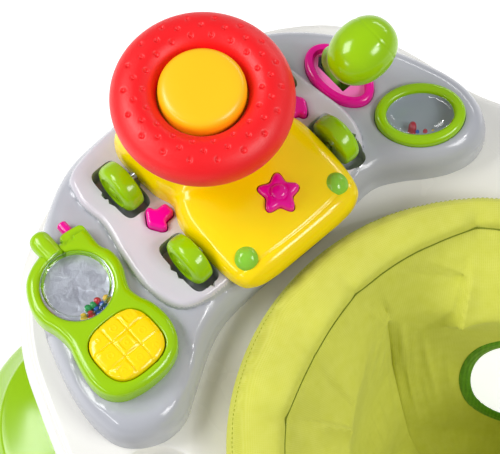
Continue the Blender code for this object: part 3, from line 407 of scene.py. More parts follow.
def woven(name, colour, painted_thread_shade, thread=1.5 * MM):
    """Plain-woven polyester: crossed threads as bump, with a short soft fuzz; painted highlight on the thread
    crowns and painted shade between the threads and in the slub hollows.
    """
    material, tree, principled = new_material(name, Sheen_Weight=0.35, Sheen_Roughness=0.5, Roughness=0.86)
    principled.inputs["Sheen Tint"].default_value = linear("#f4f6b0")
    principled.inputs["Specular IOR Level"].default_value = 0.25
    uv = add(tree, "ShaderNodeUVMap", uv_map="cloth").outputs["UV"]
    place = add(tree, "ShaderNodeTexCoord").outputs["Object"]
    waves = []
    for axis in ("X", "Y"):
        waves.append(add(tree, "ShaderNodeTexWave", {
            "Vector": uv, "Scale": math.pi / (10 * thread), "Distortion": 0.6, "Detail": 1.0,
            "Detail Scale": 2.0,
        }, wave_type="BANDS", bands_direction=axis).outputs["Fac"])
    threads = add(tree, "ShaderNodeMath", {0: waves[0], 1: waves[1]}, operation="MAXIMUM")
    slub = add(tree, "ShaderNodeTexNoise", {"Vector": place, "Scale": 1 / (9 * MM), "Detail": 4.0})
    cloudy = add(tree, "ShaderNodeTexNoise", {"Vector": place, "Scale": 1 / (60 * MM), "Detail": 2.0})
    # painted shade and highlight: the colour runs from the darker shade colour between the threads and in slub
    # hollows to the paler colour on their crowns
    mixed = add(tree, "ShaderNodeMath", {0: threads.outputs[0], 1: slub.outputs["Fac"]},
                operation="MULTIPLY")
    colours = add(tree, "ShaderNodeMix", {"Factor": mixed.outputs[0], "A": linear(painted_thread_shade), "B": linear(colour)},
                  data_type="RGBA")
    tone = add(tree, "ShaderNodeMapRange",
               {"Value": cloudy.outputs["Fac"], "From Min": 0.3, "From Max": 0.7,
                                            "To Min": 0.94, "To Max": 1.05})
    hue = add(tree, "ShaderNodeHueSaturation",
              {"Color": colours.outputs["Result"], "Value": tone.outputs[0]})
    weave = add(tree, "ShaderNodeBump", {"Height": threads.outputs[0], "Distance": 0.10 * MM, "Strength": 0.6})
    crease = add(tree, "ShaderNodeBump", {"Height": slub.outputs["Fac"], "Distance": 0.35 * MM, "Strength": 0.5,
                                          "Normal": weave.outputs["Normal"]})
    tree.links.new(hue.outputs["Color"], principled.inputs["Base Color"])
    tree.links.new(crease.outputs["Normal"], principled.inputs["Normal"])
    return material


# ---------------------------------------------------------------- finishes of this object

GREEN = moulded("gloss_green_abs", "#9acb00", 0.17, relief_depth=0.006 * MM)
LAMP_GREEN = moulded("milky_green_abs", "#8ccb3a", 0.14, relief_depth=0.004 * MM, Subsurface_Weight=0.15,
                     Subsurface_Scale=0.004)
YELLOW = moulded("gloss_yellow_abs", "#ffdd00", 0.16, relief_depth=0.005 * MM, Subsurface_Weight=0.1,
                 Subsurface_Scale=0.004)
HORN_YELLOW = moulded("satin_yellow_abs", "#ffc814", 0.30, relief_depth=0.010 * MM)
MAGENTA = moulded("gloss_magenta_abs", "#ec0099", 0.18, relief_depth=0.005 * MM)
PINK = moulded("pale_pink_abs", "#ff84cf", 0.22, relief_depth=0.006 * MM)
WHITE = moulded("satin_white_polypropylene", "#efeee9", 0.26, relief_depth=0.006 * MM, flow=90 * MM,
                shift=0.008)
GREY = moulded("gloss_grey_abs", "#b6b8c0", 0.16, relief_depth=0.006 * MM, shift=0.015)
PALE_GREY = moulded("gloss_pale_grey_abs", "#d0ccd5", 0.17, relief_depth=0.006 * MM, shift=0.015)
RED = moulded("soft_grained_red_elastomer", "#f40814", 0.42, grain=1.1 * MM, relief_depth=0.16 * MM,
              shift=0.02,
              Sheen_Weight=0.04, Sheen_Roughness=0.5)
RUBBER = moulded("black_foot_rubber", "#26282b", 0.75, grain=1.4 * MM, relief_depth=0.10 * MM)
BLACK = moulded("black_speaker_basket", "#1d1e20", 0.5)
BOARD = moulded("green_board_laminate", "#1f5b33", 0.4)
BEADS = {
    "red": moulded("red_bead_acrylic", "#d0142e", 0.12, Coat_Weight=0.5),
    "yellow": moulded("yellow_bead_acrylic", "#f7c93c", 0.12, Coat_Weight=0.5),
    "blue": moulded("blue_bead_acrylic", "#0a57b8", 0.12, Coat_Weight=0.5),
    "green": moulded("green_bead_acrylic", "#0c9a4c", 0.12, Coat_Weight=0.5),
}
# each cloth's second colour is the painted shade between its threads
CLOTH = woven("lime_woven_polyester", "#dddf70", "#cacd48")
TAPE = woven("green_binding_tape", "#6fae18", "#3f7d0c", thread=2.2 * MM)
SEAM_THREAD = moulded("olive_seam_thread", "#7d8a10", 0.8, grain=0.4 * MM, relief_depth=0.05 * MM)
THREAD = moulded("lime_sewing_thread", "#b9c222", 0.7, grain=0.4 * MM, relief_depth=0.05 * MM)


def drawn_steel():
    """Bright drawn wire: fine noise in its roughness breaks up its gloss."""
    material, tree, principled = new_material("drawn_spring_steel", Metallic=1.0)
    principled.inputs["Base Color"].default_value = linear("#b9bcc2")
    place = add(tree, "ShaderNodeTexCoord").outputs["Object"]
    scratches = add(tree, "ShaderNodeTexNoise", {"Vector": place, "Scale": 900.0, "Detail": 2.0})
    gloss = add(tree, "ShaderNodeMapRange",
                {"Value": scratches.outputs["Fac"], "To Min": 0.18, "To Max": 0.42})
    tree.links.new(gloss.outputs[0], principled.inputs["Roughness"])
    return material


def clear_cover():
    """Clear moulded polystyrene: it shows what is behind it, with faint ripples from the tool."""
    material, tree, principled = new_material(
        "clear_polystyrene", Transmission_Weight=1.0, Roughness=0.02, IOR=1.45, Alpha=1.0)
    principled.inputs["Base Color"].default_value = linear("#f4f7f8")
    place = add(tree, "ShaderNodeTexCoord").outputs["Object"]
    ripple = add(tree, "ShaderNodeTexNoise", {"Vector": place, "Scale": 1 / (12 * MM), "Detail": 1.0})
    wave = add(tree, "ShaderNodeBump", {"Height": ripple.outputs["Fac"], "Distance": 0.15 * MM})
    tree.links.new(wave.outputs["Normal"], principled.inputs["Normal"])
    rays = add(tree, "ShaderNodeLightPath")
    straight = add(tree, "ShaderNodeMath",
                   {0: rays.outputs["Is Shadow Ray"], 1: rays.outputs["Is Diffuse Ray"]},
                   operation="MAXIMUM")
    open_way = add(tree, "ShaderNodeBsdfTransparent", {"Color": linear("#f2f6f8")})
    shown = add(tree, "ShaderNodeMixShader", {0: straight.outputs[0], 1: principled.outputs[0],
                                              2: open_way.outputs[0]})
    tree.links.new(shown.outputs[0], tree.nodes["Material Output"].inputs["Surface"])
    return material


def silver_film():
    """Aluminised film: a dull lilac mirror whose small creases scatter what it reflects; its tint is a painted
    highlight on the crease crests and painted shade in their hollows.
    """
    material, tree, principled = new_material("crinkled_silver_film", Metallic=1.0)
    place = add(tree, "ShaderNodeTexCoord").outputs["Object"]
    cloudy = add(tree, "ShaderNodeTexNoise", {"Vector": place, "Scale": 1 / (9 * MM), "Detail": 3.0,
                                              "Distortion": 1.2})
    # painted highlight and shade: the tint follows the crease heights, pale on the crests and dark in the
    # hollows
    tone = add(tree, "ShaderNodeMix", {"Factor": cloudy.outputs["Fac"], "A": linear("#bcbac9"),
                                       "B": linear("#eeedf4")}, data_type="RGBA")
    gloss = add(tree, "ShaderNodeMapRange", {"Value": cloudy.outputs["Fac"], "To Min": 0.25, "To Max": 0.5})
    creases = add(tree, "ShaderNodeBump",
                  {"Height": cloudy.outputs["Fac"], "Distance": 0.6 * MM, "Strength": 0.7})
    tree.links.new(tone.outputs["Result"], principled.inputs["Base Color"])
    tree.links.new(gloss.outputs[0], principled.inputs["Roughness"])
    tree.links.new(creases.outputs["Normal"], principled.inputs["Normal"])
    return material


STEEL = drawn_steel()
CLEAR = clear_cover()
FILM = silver_film()


# ---------------------------------------------------------------- heights and places

deck = high("tray").z
plateau_top = high("console").z
wing_top = plateau_top - 7.5 * MM
console_base = low("console").z
car_floor = low("car_body").z
phone_top = high("phone_body").z
seated = low("phone_body").z - 0.3 * MM
car_x = middle("car_body").x
bounce = "tray"

# ---------------------------------------------------------------- base and legs


def profile_of(points, steps=6):
    return [(p[0], p[1]) for p in smooth_path(points, steps)]


def make_base():
    for name in HUBS:
        centre = middle(name + "_hub")
        r = (high(name + "_hub").x - low(name + "_hub").x) / 2
        top = high(name + "_hub").z
        at = (centre.x, centre.y, 0)
        crease = r - 27 * MM
        profile = profile_of([
            (r - 24 * MM, 4 * MM), (r - 24 * MM, 4 * MM), (r - 3 * MM, 4 * MM), (r - 3 * MM, 4 * MM),
            (r, 9 * MM), (r, 19 * MM), (r - 6 * MM, 40 * MM), (crease + 11 * MM, 56 * MM),
            (crease + 2.5 * MM, 70 * MM), (crease + 1.2 * MM, 73 * MM), (crease + 1.2 * MM, 73 * MM),
            (crease - 1 * MM, 76.5 * MM), (crease - 6 * MM, 78.5 * MM), (72 * MM, 86 * MM), (53 * MM,
                                                                                             91 * MM),
            (45 * MM, 95 * MM), (40.6 * MM, 101 * MM), (39.6 * MM, 110 * MM), (39.6 * MM, top - 1.2 * MM),
            (39.0 * MM, top - 0.3 * MM), (37 * MM, top), (37 * MM, top), (27 * MM, top), (27 * MM, top),
            (27 * MM, top - 12 * MM),
        ])
        piece(name + "_hub_shell", *turned(profile, 192, at), GREEN, "base", [name + "_hub"],
              slot="green_plastic")
        foot = profile_of([(0, 0.2 * MM), (0, 0.2 * MM), (101 * MM, 0.2 * MM), (101 * MM, 0.2 * MM),
                           (103.5 * MM, 1.5 * MM), (104 * MM, 6.8 * MM), (104 * MM, 6.8 * MM),
                            (0, 6.8 * MM)], 3)
        piece(name + "_foot_pad", *turned(foot, 128, at), RUBBER, "base", [name + "_foot"],
              slot="black_rubber")
        post_r = 26 * MM
        post_top = high(name + "_leg_post").z
        post = [(0, 20.5 * MM), (post_r, 20.5 * MM), (post_r, post_top - 15 * MM),
                (post_r - 1 * MM, post_top - 13.5 * MM),
                (10 * MM, post_top - 13 * MM), (10 * MM, post_top), (0, post_top)]
        piece(name + "_post", *turned(post, 96, at), WHITE, "base", [name + "_leg_post"],
              slot="cream_plastic")
        make_sleeve(name, at)
        make_spring(name, at)


def make_sleeve(name, at):
    bottom = low(name + "_leg_sleeve").z
    top = high(name + "_leg_sleeve").z
    under = low("tray").z - 1 * MM
    bore, outside = 26.8 * MM, 33.8 * MM
    profile = profile_of([
        (bore, bottom + 1 * MM), (bore, bottom + 1 * MM), (bore + 1 * MM, bottom), (bore + 1 * MM, bottom),
        (outside + 2 * MM, bottom), (outside + 3 * MM, bottom + 1 * MM), (outside + 3 * MM,
                                                                          bottom + 10 * MM),
        (outside + 2.4 * MM, bottom + 13 * MM), (outside, bottom + 17 * MM), (outside, bottom + 24 * MM),
        (outside, under - 5 * MM), (outside - 1 * MM, under - 1.5 * MM), (outside - 3 * MM, under),
        (outside - 3 * MM, under), (22.5 * MM, under), (22.5 * MM, under), (22.5 * MM, top), (22.5 * MM,
                                                                                              top),
        (0, top), (0, top), (0, bottom + 150 * MM), (0, bottom + 150 * MM), (bore, bottom + 150 * MM),
        (bore, bottom + 150 * MM), (bore, bottom + 1 * MM),
    ], 4)[:-1]
    piece(name + "_sleeve", *turned(profile, 96, at, closed=True), WHITE, bounce, [name + "_leg_sleeve"],
          slot="cream_plastic")


def make_spring(name, at):
    """A coil between the post and the sleeve, a fixed mesh on the base; it does not close up as the tray comes
    down.
    """
    lo, hi = low(name + "_spring").z, high(name + "_spring").z
    wire, turns, r = 1.8 * MM, 4, 15 * MM
    path = []
    for i in range(4 * 40 + 1):
        angle = 2 * math.pi * turns * i / 160
        path.append((at[0] + r * math.cos(angle), at[1] + r * math.sin(angle),
                     lo + wire + (hi - lo - 2 * wire) * i / 160))
    section = [(wire * math.cos(a), wire * math.sin(a)) for a in np.linspace(0, 2 * math.pi, 10,
                                                                             endpoint=False)]
    coil = piece(name + "_coil", *swept(path, section), STEEL, "base", [name + "_spring"], slot="steel")
    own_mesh(coil)


def make_base_tubes():
    ring = math.hypot(middle("front_right_hub").x, middle("front_right_hub").y)
    angles = [math.atan2(middle(n + "_hub").y, middle(n + "_hub").x) % (2 * math.pi)
              for n in ("front_right", "front_left", "rear_left", "rear_right")]
    inside = 2 * math.asin(90 * MM / (2 * ring))
    section = [(x, y) for x, y in squircle(30 * MM, 21 * MM, 2.8, (0, 0), 40)]
    for name, a, b in zip(("front", "left", "rear", "right"), angles,
                          angles[1:] + [angles[0] + 2 * math.pi]):
        path = [(ring * math.cos(t), ring * math.sin(t), 36 * MM) for t in np.linspace(a + inside,
                                                                                       b - inside, 60)]
        piece(name + "_tube", *swept(path, section), WHITE, "base", [name + "_base_tube"],
              slot="cream_plastic")


# ---------------------------------------------------------------- tray


def make_tray():
    rim = smooth_loop(cad_loops("tray", deck - 18 * MM)[0], 420)
    opening = (high("seat_ring").x - low("seat_ring").x) / 2 - 15 * MM
    outer = profile_of([
        (6.0 * MM, deck - 32 * MM), (6.0 * MM, deck - 32 * MM), (5.0 * MM, deck - 34 * MM),
        (2.8 * MM, deck - 34 * MM), (2.0 * MM, deck - 33 * MM), (0.8 * MM, deck - 24 * MM),
        (0, deck - 16 * MM), (0.4 * MM, deck - 14.2 * MM), (1.6 * MM, deck - 13.4 * MM),
        (4.6 * MM, deck - 12.6 * MM), (6.0 * MM, deck - 11.6 * MM), (6.6 * MM, deck - 9 * MM),
        (7.0 * MM, deck - 4.5 * MM), (8.0 * MM, deck - 1.6 * MM), (10.5 * MM, deck - 0.2 * MM), (13 * MM,
                                                                                                 deck),
    ], 3)
    rings = [np.column_stack([moved_in(rim, inset), np.full(len(rim), z)]) for inset, z in outer]
    angle = np.arctan2(rim[:, 1], rim[:, 0])
    well = [(opening + 3 * MM, deck), (opening + 1 * MM, deck - 0.7 * MM), (opening, deck - 2.5 * MM),
            (opening, deck - 27 * MM), (opening + 4 * MM, deck - 27 * MM), (opening + 4 * MM, deck - 4 * MM)]
    for r, z in well:
        rings.append(np.column_stack([r * np.cos(angle), r * np.sin(angle), np.full(len(rim), z)]))
    for inset, z in [(13 * MM, deck - 4 * MM), (9.5 * MM, deck - 15 * MM)]:
        rings.append(np.column_stack([moved_in(rim, inset), np.full(len(rim), z)]))
    tray = piece("tray_moulding", *skin(rings, closed=True), WHITE, bounce, ["tray"], slot="cream_plastic")
    for side, name in ((-1, "left"), (1, "right")):
        place = (side * 206.5 * MM, 140 * MM, 0)
        drill = [(0, deck - 40 * MM), (38 * MM, deck - 40 * MM), (38 * MM, deck + 5 * MM),
                 (0, deck + 5 * MM)]
        carved(tray, turned(drill, 120, place))
        cup = profile_of([
            (38 * MM, deck), (38 * MM, deck), (36.3 * MM, deck - 0.5 * MM), (35.2 * MM, deck - 2.2 * MM),
            (34.9 * MM, deck - 8 * MM), (34.5 * MM, deck - 16 * MM), (33.6 * MM, deck - 18.8 * MM),
            (31 * MM, deck - 20 * MM), (31 * MM, deck - 20 * MM), (0, deck - 20 * MM), (0, deck - 20 * MM),
            (0, deck - 23 * MM), (0, deck - 23 * MM), (33 * MM, deck - 23 * MM), (37.6 * MM,
                                                                                  deck - 18 * MM),
            (38 * MM, deck - 4 * MM), (38 * MM, deck - 4 * MM), (38 * MM, deck),
        ], 4)[:-1]
        piece(name + "_cup", *turned(cup, 120, place, closed=True), WHITE, bounce, slot="cream_plastic")


def carved(obj, shape):
    """Cuts a closed shape of points and faces out of a piece."""
    mesh = new_mesh("cutter", *shape)
    clean(mesh)
    cutter = new_object("cutter", mesh)
    step = obj.modifiers.new("cut", "BOOLEAN")
    step.operation = "DIFFERENCE"
    step.solver = "EXACT"
    step.object = cutter
    bake(obj)
    bpy.data.objects.remove(cutter)
    obj.data.shade_smooth()
    obj.data.set_sharp_from_angle(angle=math.radians(45))


def bake(obj):
    """Turns a piece's modifiers into its mesh."""
    bpy.context.view_layer.update()
    shown = obj.evaluated_get(bpy.context.evaluated_depsgraph_get())
    mesh = bpy.data.meshes.new_from_object(shown)
    obj.modifiers.clear()
    obj.data = mesh


# ---------------------------------------------------------------- console

PLATEAU = smooth_loop([
    (-0.045, 0.2175), (0.0, 0.217), (0.040, 0.2185), (0.068, 0.224), (0.088, 0.238), (0.096, 0.262),
    (0.092, 0.296), (0.086, 0.330), (0.070, 0.364), (0.0, 0.378), (-0.090, 0.371), (-0.108, 0.348),
    (-0.107, 0.318), (-0.113, 0.288), (-0.116, 0.258), (-0.109, 0.230), (-0.086, 0.219),
], 300)
WHEELS = {name: middle(name + "_car_wheel") for name in HUBS}
phone_loop = smooth_loop(cad_loops("phone_body", low("phone_body").z + 2.2 * MM)[0], 260)
plate_place = middle("gear_plate")
oval_place = middle("oval_ring")
PLATE_TURN = math.radians(94)
OVAL_TURN = math.radians(-37)


def arrow_loop(side, grow=0.0):
    half = [(0.0112, 0.0), (0.0045, 0.0107), (0.0003, 0.0112), (-0.0012, 0.0056), (-0.0112, 0.0053)]
    points = half + [(x, -y) for x, y in reversed(half[1:])]
    place = middle(("right" if side > 0 else "left") + "_arrow_button")
    centre = np.array([place.x, place.y])
    corners = []
    for i, point in enumerate(points):
        before, here, after = (np.array(points[(i + k) % len(points)]) for k in (-1, 0, 1))
        for other in (before, after):
            reach = min(1.6 * MM, np.linalg.norm(other - here) * 0.35)
            corners.append(here + (other - here) / np.linalg.norm(other - here) * reach)
    loop = np.array(corners) * (side, 1) + centre
    loop = evenly(loop if area(loop) > 0 else loop[::-1], 150)
    for _ in range(6):
        loop = (np.roll(loop, 1, axis=0) + 2 * loop + np.roll(loop, -1, axis=0)) / 4
    return moved_in(loop, -grow)


def make_console():
    rim = smooth_loop(cad_loops("console", console_base + 3 * MM)[0], 420)
    pockets = [squircle(12.25 * MM, 24.5 * MM, 5, (w.x, w.y), 120) for w in WHEELS.values()]
    wells = [arrow_loop(side, 0.8 * MM) for side in (-1, 1)]
    pads = [arrow_loop(side, 3.0 * MM) for side in (-1, 1)]
    ring = oval(35.8 * MM, 26.7 * MM, oval_place, OVAL_TURN)
    chamber = oval(25.4 * MM, 16.8 * MM, oval_place, OVAL_TURN)
    plate = oval(32.3 * MM, 20.8 * MM, plate_place, PLATE_TURN)
    bay = squircle(10.5 * MM, 26 * MM, 8, (plate_place.x, plate_place.y + 1 * MM), 80)
    dip = oval(45 * MM, 45 * MM, (middle("phone_keypad").x + 0.5 * MM, 224 * MM))

    def height(spots):
        edge = shoulder(depth_inside(spots, rim), 20 * MM, 2.3)
        z = console_base + 6 * MM + (wing_top - console_base - 6 * MM) * edge
        rise = depth_inside(spots, PLATEAU)
        fillet = 0.7 * MM * np.exp(np.minimum(rise, 0) / (1.3 * MM)) * (rise < 0)
        z = z + 7.5 * MM * shoulder(rise, 5.5 * MM, 2.2) + fillet
        z = z - 1.9 * MM * ramp(depth_inside(spots, dip), 0, 3 * MM)
        for pad in pads:
            z = z - 0.5 * MM * ramp(depth_inside(spots, pad), 0, 1.2 * MM)
        for loops, floor, lip in (
            (pockets, plateau_top - 19 * MM, 1.4 * MM), (wells, plateau_top - 11.3 * MM, 0.5 * MM),
            ([phone_loop, ring, plate], seated, 0.4 * MM), ([chamber], seated - 8 * MM, 0.4 * MM),
            ([bay], console_base + 4 * MM, 0.4 * MM),
        ):
            for loop in loops:
                inside = depth_inside(spots, loop)
                z = np.where(inside > -lip, z - (z - floor) * ramp(inside, -lip * 0.2, lip), z)
                z = z - 0.35 * MM * bump(inside + lip * 0.3, lip) * (inside < 0)
        return z

    step = (-0.8 * MM, -0.3 * MM, 0.0, 0.3 * MM, 0.7 * MM, 1.2 * MM)
    bands = [(PLATEAU, (-2 * MM, -0.8 * MM, 0.0, 0.25 * MM, 0.8 * MM, 1.8 * MM, 3.2 * MM, 4.6 * MM))]
    bands += [(loop, step) for loop in pockets + wells]
    bands += [(loop, (-0.5 * MM, -0.1 * MM, 0.35 * MM)) for loop in (phone_loop, ring, plate, chamber, bay)]
    bands += [(rim, (0.15 * MM, 0.6 * MM, 1.4 * MM, 2.6 * MM, 4.2 * MM, 6.2 * MM, 8.6 * MM, 11.5 * MM, 15 * MM,
                     19 * MM))]
    shape = relief(rim, height, 2.6 * MM, bands, console_base)
    console = piece("console_moulding", *shape, GREY, bounce, ["console"], 50, "grey_plastic")
    console.data.materials.append(PALE_GREY)
    for face in console.data.polygons:
        if face.center.z > wing_top + 3.5 * MM:
            face.material_index = 1
    make_plate_screw()


def make_plate_screw():
    """The head of a self-tapping screw at the lower left of the gear plate."""
    profile = [(0, 5.2 * MM), (1.1 * MM, 5.2 * MM), (1.3 * MM, 6.0 * MM), (2.3 * MM, 6.4 * MM),
               (2.6 * MM, 5.9 * MM), (2.6 * MM, 4.0 * MM), (0, 4.0 * MM)]
    at = (plate_place.x - 11 * MM, plate_place.y - 19 * MM, seated - 2.2 * MM)
    piece("gear_plate_screw", *turned(profile, 32, at), STEEL, bounce, slot="steel")


# ---------------------------------------------------------------- toy car

CAR_SPINE = smooth_path([
    (0.1980, 0.030, 0.0070), (0.1995, 0.044, 0.0125), (0.2030, 0.0530, 0.0172), (0.2080, 0.0585, 0.0200),
    (0.2200, 0.0620, 0.0230), (0.2400, 0.0635, 0.0265), (0.2640, 0.0635, 0.0300), (0.2800, 0.0622, 0.0350),
    (0.2960, 0.0600, 0.0430), (0.3140, 0.0600, 0.0470), (0.3380, 0.0610, 0.0460), (0.3540, 0.0590, 0.0390),
    (0.3640, 0.0520, 0.0270), (0.3690, 0.0380, 0.0120),
], 12)


def make_car():
    rings = []
    arch = np.linspace(0, math.pi, 150)
    for y, half, top in CAR_SPINE:
        half = half - 5.2 * MM * bump(y - 0.2925, 11 * MM)
        c, s = np.cos(arch), np.sin(arch)
        x = np.sign(c) * np.abs(c) ** 0.62 * half
        z = np.abs(s) ** 0.62 * top
        z = z - 0.9 * MM * bump(y - 0.2085 - 0.006 * (x / 0.06) ** 2, 1.1 * MM) * ramp(s, 0.1, 0.35)
        for side in (-1, 1):
            start, end = np.array([side * 0.052, 0.293]), np.array([side * 0.018, 0.262])
            along = (end - start) / np.linalg.norm(end - start)
            t = (x - start[0]) * along[0] + (y - start[1]) * along[1]
            off = (x - start[0]) * along[1] - (y - start[1]) * along[0]
            z = z - 2.6 * MM * bump(off, 5.5 * MM) * (1 - ramp(t, 4 * MM, 46 * MM)) * ramp(t, -16 * MM, 0)
        z = z + 1.4 * MM * bump(x, 30 * MM) * ramp(y, 0.205, 0.225) * (1 - ramp(y, 0.27, 0.30))
        rings.append(np.column_stack([car_x + x, np.full(150, y), car_floor + np.maximum(z, 0)]))
    car = piece("car_shell", *skin(rings), YELLOW, bounce, ["car_body"], 40, "yellow_plastic")
    place = middle("star_button")
    carved(car, prism(star_loop(place, 0.8 * MM), car_floor + 8.5 * MM, car_floor + 60 * MM))
    column = middle("steering_column")
    boss = profile_of([(30 * MM, 0), (30 * MM, 0), (25 * MM, 8 * MM), (22 * MM, 17 * MM),
                       (20.5 * MM, 21 * MM),
                       (18 * MM, 22.5 * MM), (18 * MM, 22.5 * MM), (9 * MM, 22.5 * MM), (9 * MM, 22.5 * MM),
                       (8.6 * MM, 14 * MM), (8.6 * MM, 14 * MM), (0, 14 * MM)], 5)
    piece("steering_boss", *turned(boss, 96, (column.x, column.y, car_floor + 40 * MM)), YELLOW, bounce,
          slot="yellow_plastic")
    post = [(0, low("steering_column").z), (7.9 * MM, low("steering_column").z),
            (7.9 * MM, high("steering_column").z),
            (0, high("steering_column").z)]
    piece("column", *turned(post, 48, (column.x, column.y, 0)), GREY, "steering", ["steering_column"],
          slot="grey_plastic")
    for end in ("front", "rear"):
        axle = middle(end + "_axle")
        reach = high(end + "_axle").x - axle.x
        rod = [(0, -reach), (2.4 * MM, -reach), (2.95 * MM, -reach + 0.6 * MM),
               (2.95 * MM, reach - 0.6 * MM),
               (2.4 * MM, reach), (0, reach)]
        piece(end + "_axle_rod", *turned(rod, 32, axle, Vector((1, 0, 0))), STEEL, bounce, [end + "_axle"],
              slot="steel")
    make_car_wheels()
    make_star(place)
    make_headlights()


def prism(loop, bottom, top):
    return skin([[(x, y, z) for x, y in loop] for z in (bottom, top)])


def make_car_wheels():
    r, half = 20.4 * MM, 8.1 * MM
    tyre = profile_of([
        (3.2 * MM, -half), (3.2 * MM, -half), (r - 6 * MM, -half), (r - 1.6 * MM, -half + 0.9 * MM),
        (r - 0.4 * MM, -half + 3 * MM), (r, 0), (r - 0.4 * MM, half - 4.6 * MM), (r - 2 * MM,
                                                                                  half - 2.0 * MM),
        (r - 5 * MM, half - 0.5 * MM), (r - 7.4 * MM, half - 0.1 * MM), (r - 8.2 * MM, half - 1.1 * MM),
        (r - 9.4 * MM, half - 1.3 * MM), (5.2 * MM, half - 0.6 * MM), (4.6 * MM, half), (3 * MM,
                                                                                         half + 0.2 * MM),
        (0, half + 0.2 * MM), (0, half + 0.2 * MM), (0, half - 3 * MM), (0, half - 3 * MM), (3.2 * MM,
                                                                                             half - 3 * MM),
        (3.2 * MM, half - 3 * MM), (3.2 * MM, -half),
    ], 4)[:-1]
    for name, place in WHEELS.items():
        side = Vector((-1 if "left" in name else 1, 0, 0))
        piece(name + "_tyre", *turned(tyre, 120, place, side, closed=True), GREEN, name + "_car_wheel",
              [name + "_car_wheel"], slot="green_plastic")


def star_loop(place, grow=0.0):
    angle = np.linspace(0, 2 * math.pi, 240, endpoint=False)
    wave = np.cos(5 * angle)
    reach = 16.3 * MM * (0.815 + 0.17 * wave + 0.012 * np.cos(10 * angle)) + grow
    loop = np.stack([place.x + reach * np.sin(angle), place.y - reach * np.cos(angle)], axis=1)
    return loop if area(loop) > 0 else loop[::-1]


def make_star(place):
    loop = star_loop(place)
    bottom = low("star_button").z
    flat = high("star_button").z - 3.6 * MM
    centre = np.array([place.x, place.y])

    def height(spots):
        rim = flat - 3.2 * MM + 3.2 * MM * shoulder(depth_inside(spots, loop), 4.2 * MM, 2.0)
        out = np.hypot(*(spots - centre).T)
        dome = 3.4 * MM * np.sqrt(np.clip(1 - (out / (6.4 * MM)) ** 2, 0, 1))
        return rim + dome - 0.4 * MM * bump(out - 6.9 * MM, 0.8 * MM)

    bands = [(loop, (0.1 * MM, 0.4 * MM, 0.9 * MM, 1.6 * MM, 2.5 * MM, 3.5 * MM)),
             (oval(6.4 * MM, 6.4 * MM, centre), (-0.6 * MM, -0.1 * MM, 0.15 * MM, 0.5 * MM, 1.1 * MM))]
    piece("star", *relief(loop, height, 0.8 * MM, bands, bottom), MAGENTA, "star", ["star_button"], 50,
          "magenta_plastic")


def make_headlights():
    for side, name in ((-1, "left"), (1, "right")):
        node = name + "_headlight"
        lean = Matrix.Rotation(math.radians(28), 3, "X") @ Matrix.Rotation(math.radians(22 * side), 3, "Y")
        profile = profile_of([(0, -7.4 * MM), (5 * MM, -6.4 * MM), (8.6 * MM, -3.6 * MM), (9.7 * MM, 0),
                              (9.2 * MM, 1.4 * MM), (9.2 * MM, 1.4 * MM), (8.4 * MM, 3.6 * MM), (6 * MM,
                                                                                                 6 * MM),
                              (3 * MM, 7.1 * MM), (0, 7.5 * MM)], 6)
        shape = turned(profile, 64, (0, 0, 0))
        points = [tuple(lean @ Vector(p) + middle(node)) for p in shape[0]]
        piece(name + "_lamp", points, shape[1], LAMP_GREEN, bounce, [node], slot="green_plastic")


def make_arrows():
    for side, name in ((-1, "left"), (1, "right")):
        loop = arrow_loop(side)
        top = high(name + "_arrow_button").z

        def height(spots):
            inside = depth_inside(spots, loop)
            return top - 2.2 * MM + 2.2 * MM * shoulder(inside, 2.6 * MM, 1.8)

        bands = [(loop, (0.1 * MM, 0.4 * MM, 0.9 * MM, 1.6 * MM, 2.4 * MM))]
        shape = relief(loop, height, 0.9 * MM, bands, low(name + "_arrow_button").z)
        piece(name + "_arrow", *shape, MAGENTA, name + "_arrow", [name + "_arrow_button"], 50,
              "magenta_plastic")


# ---------------------------------------------------------------- steering wheel


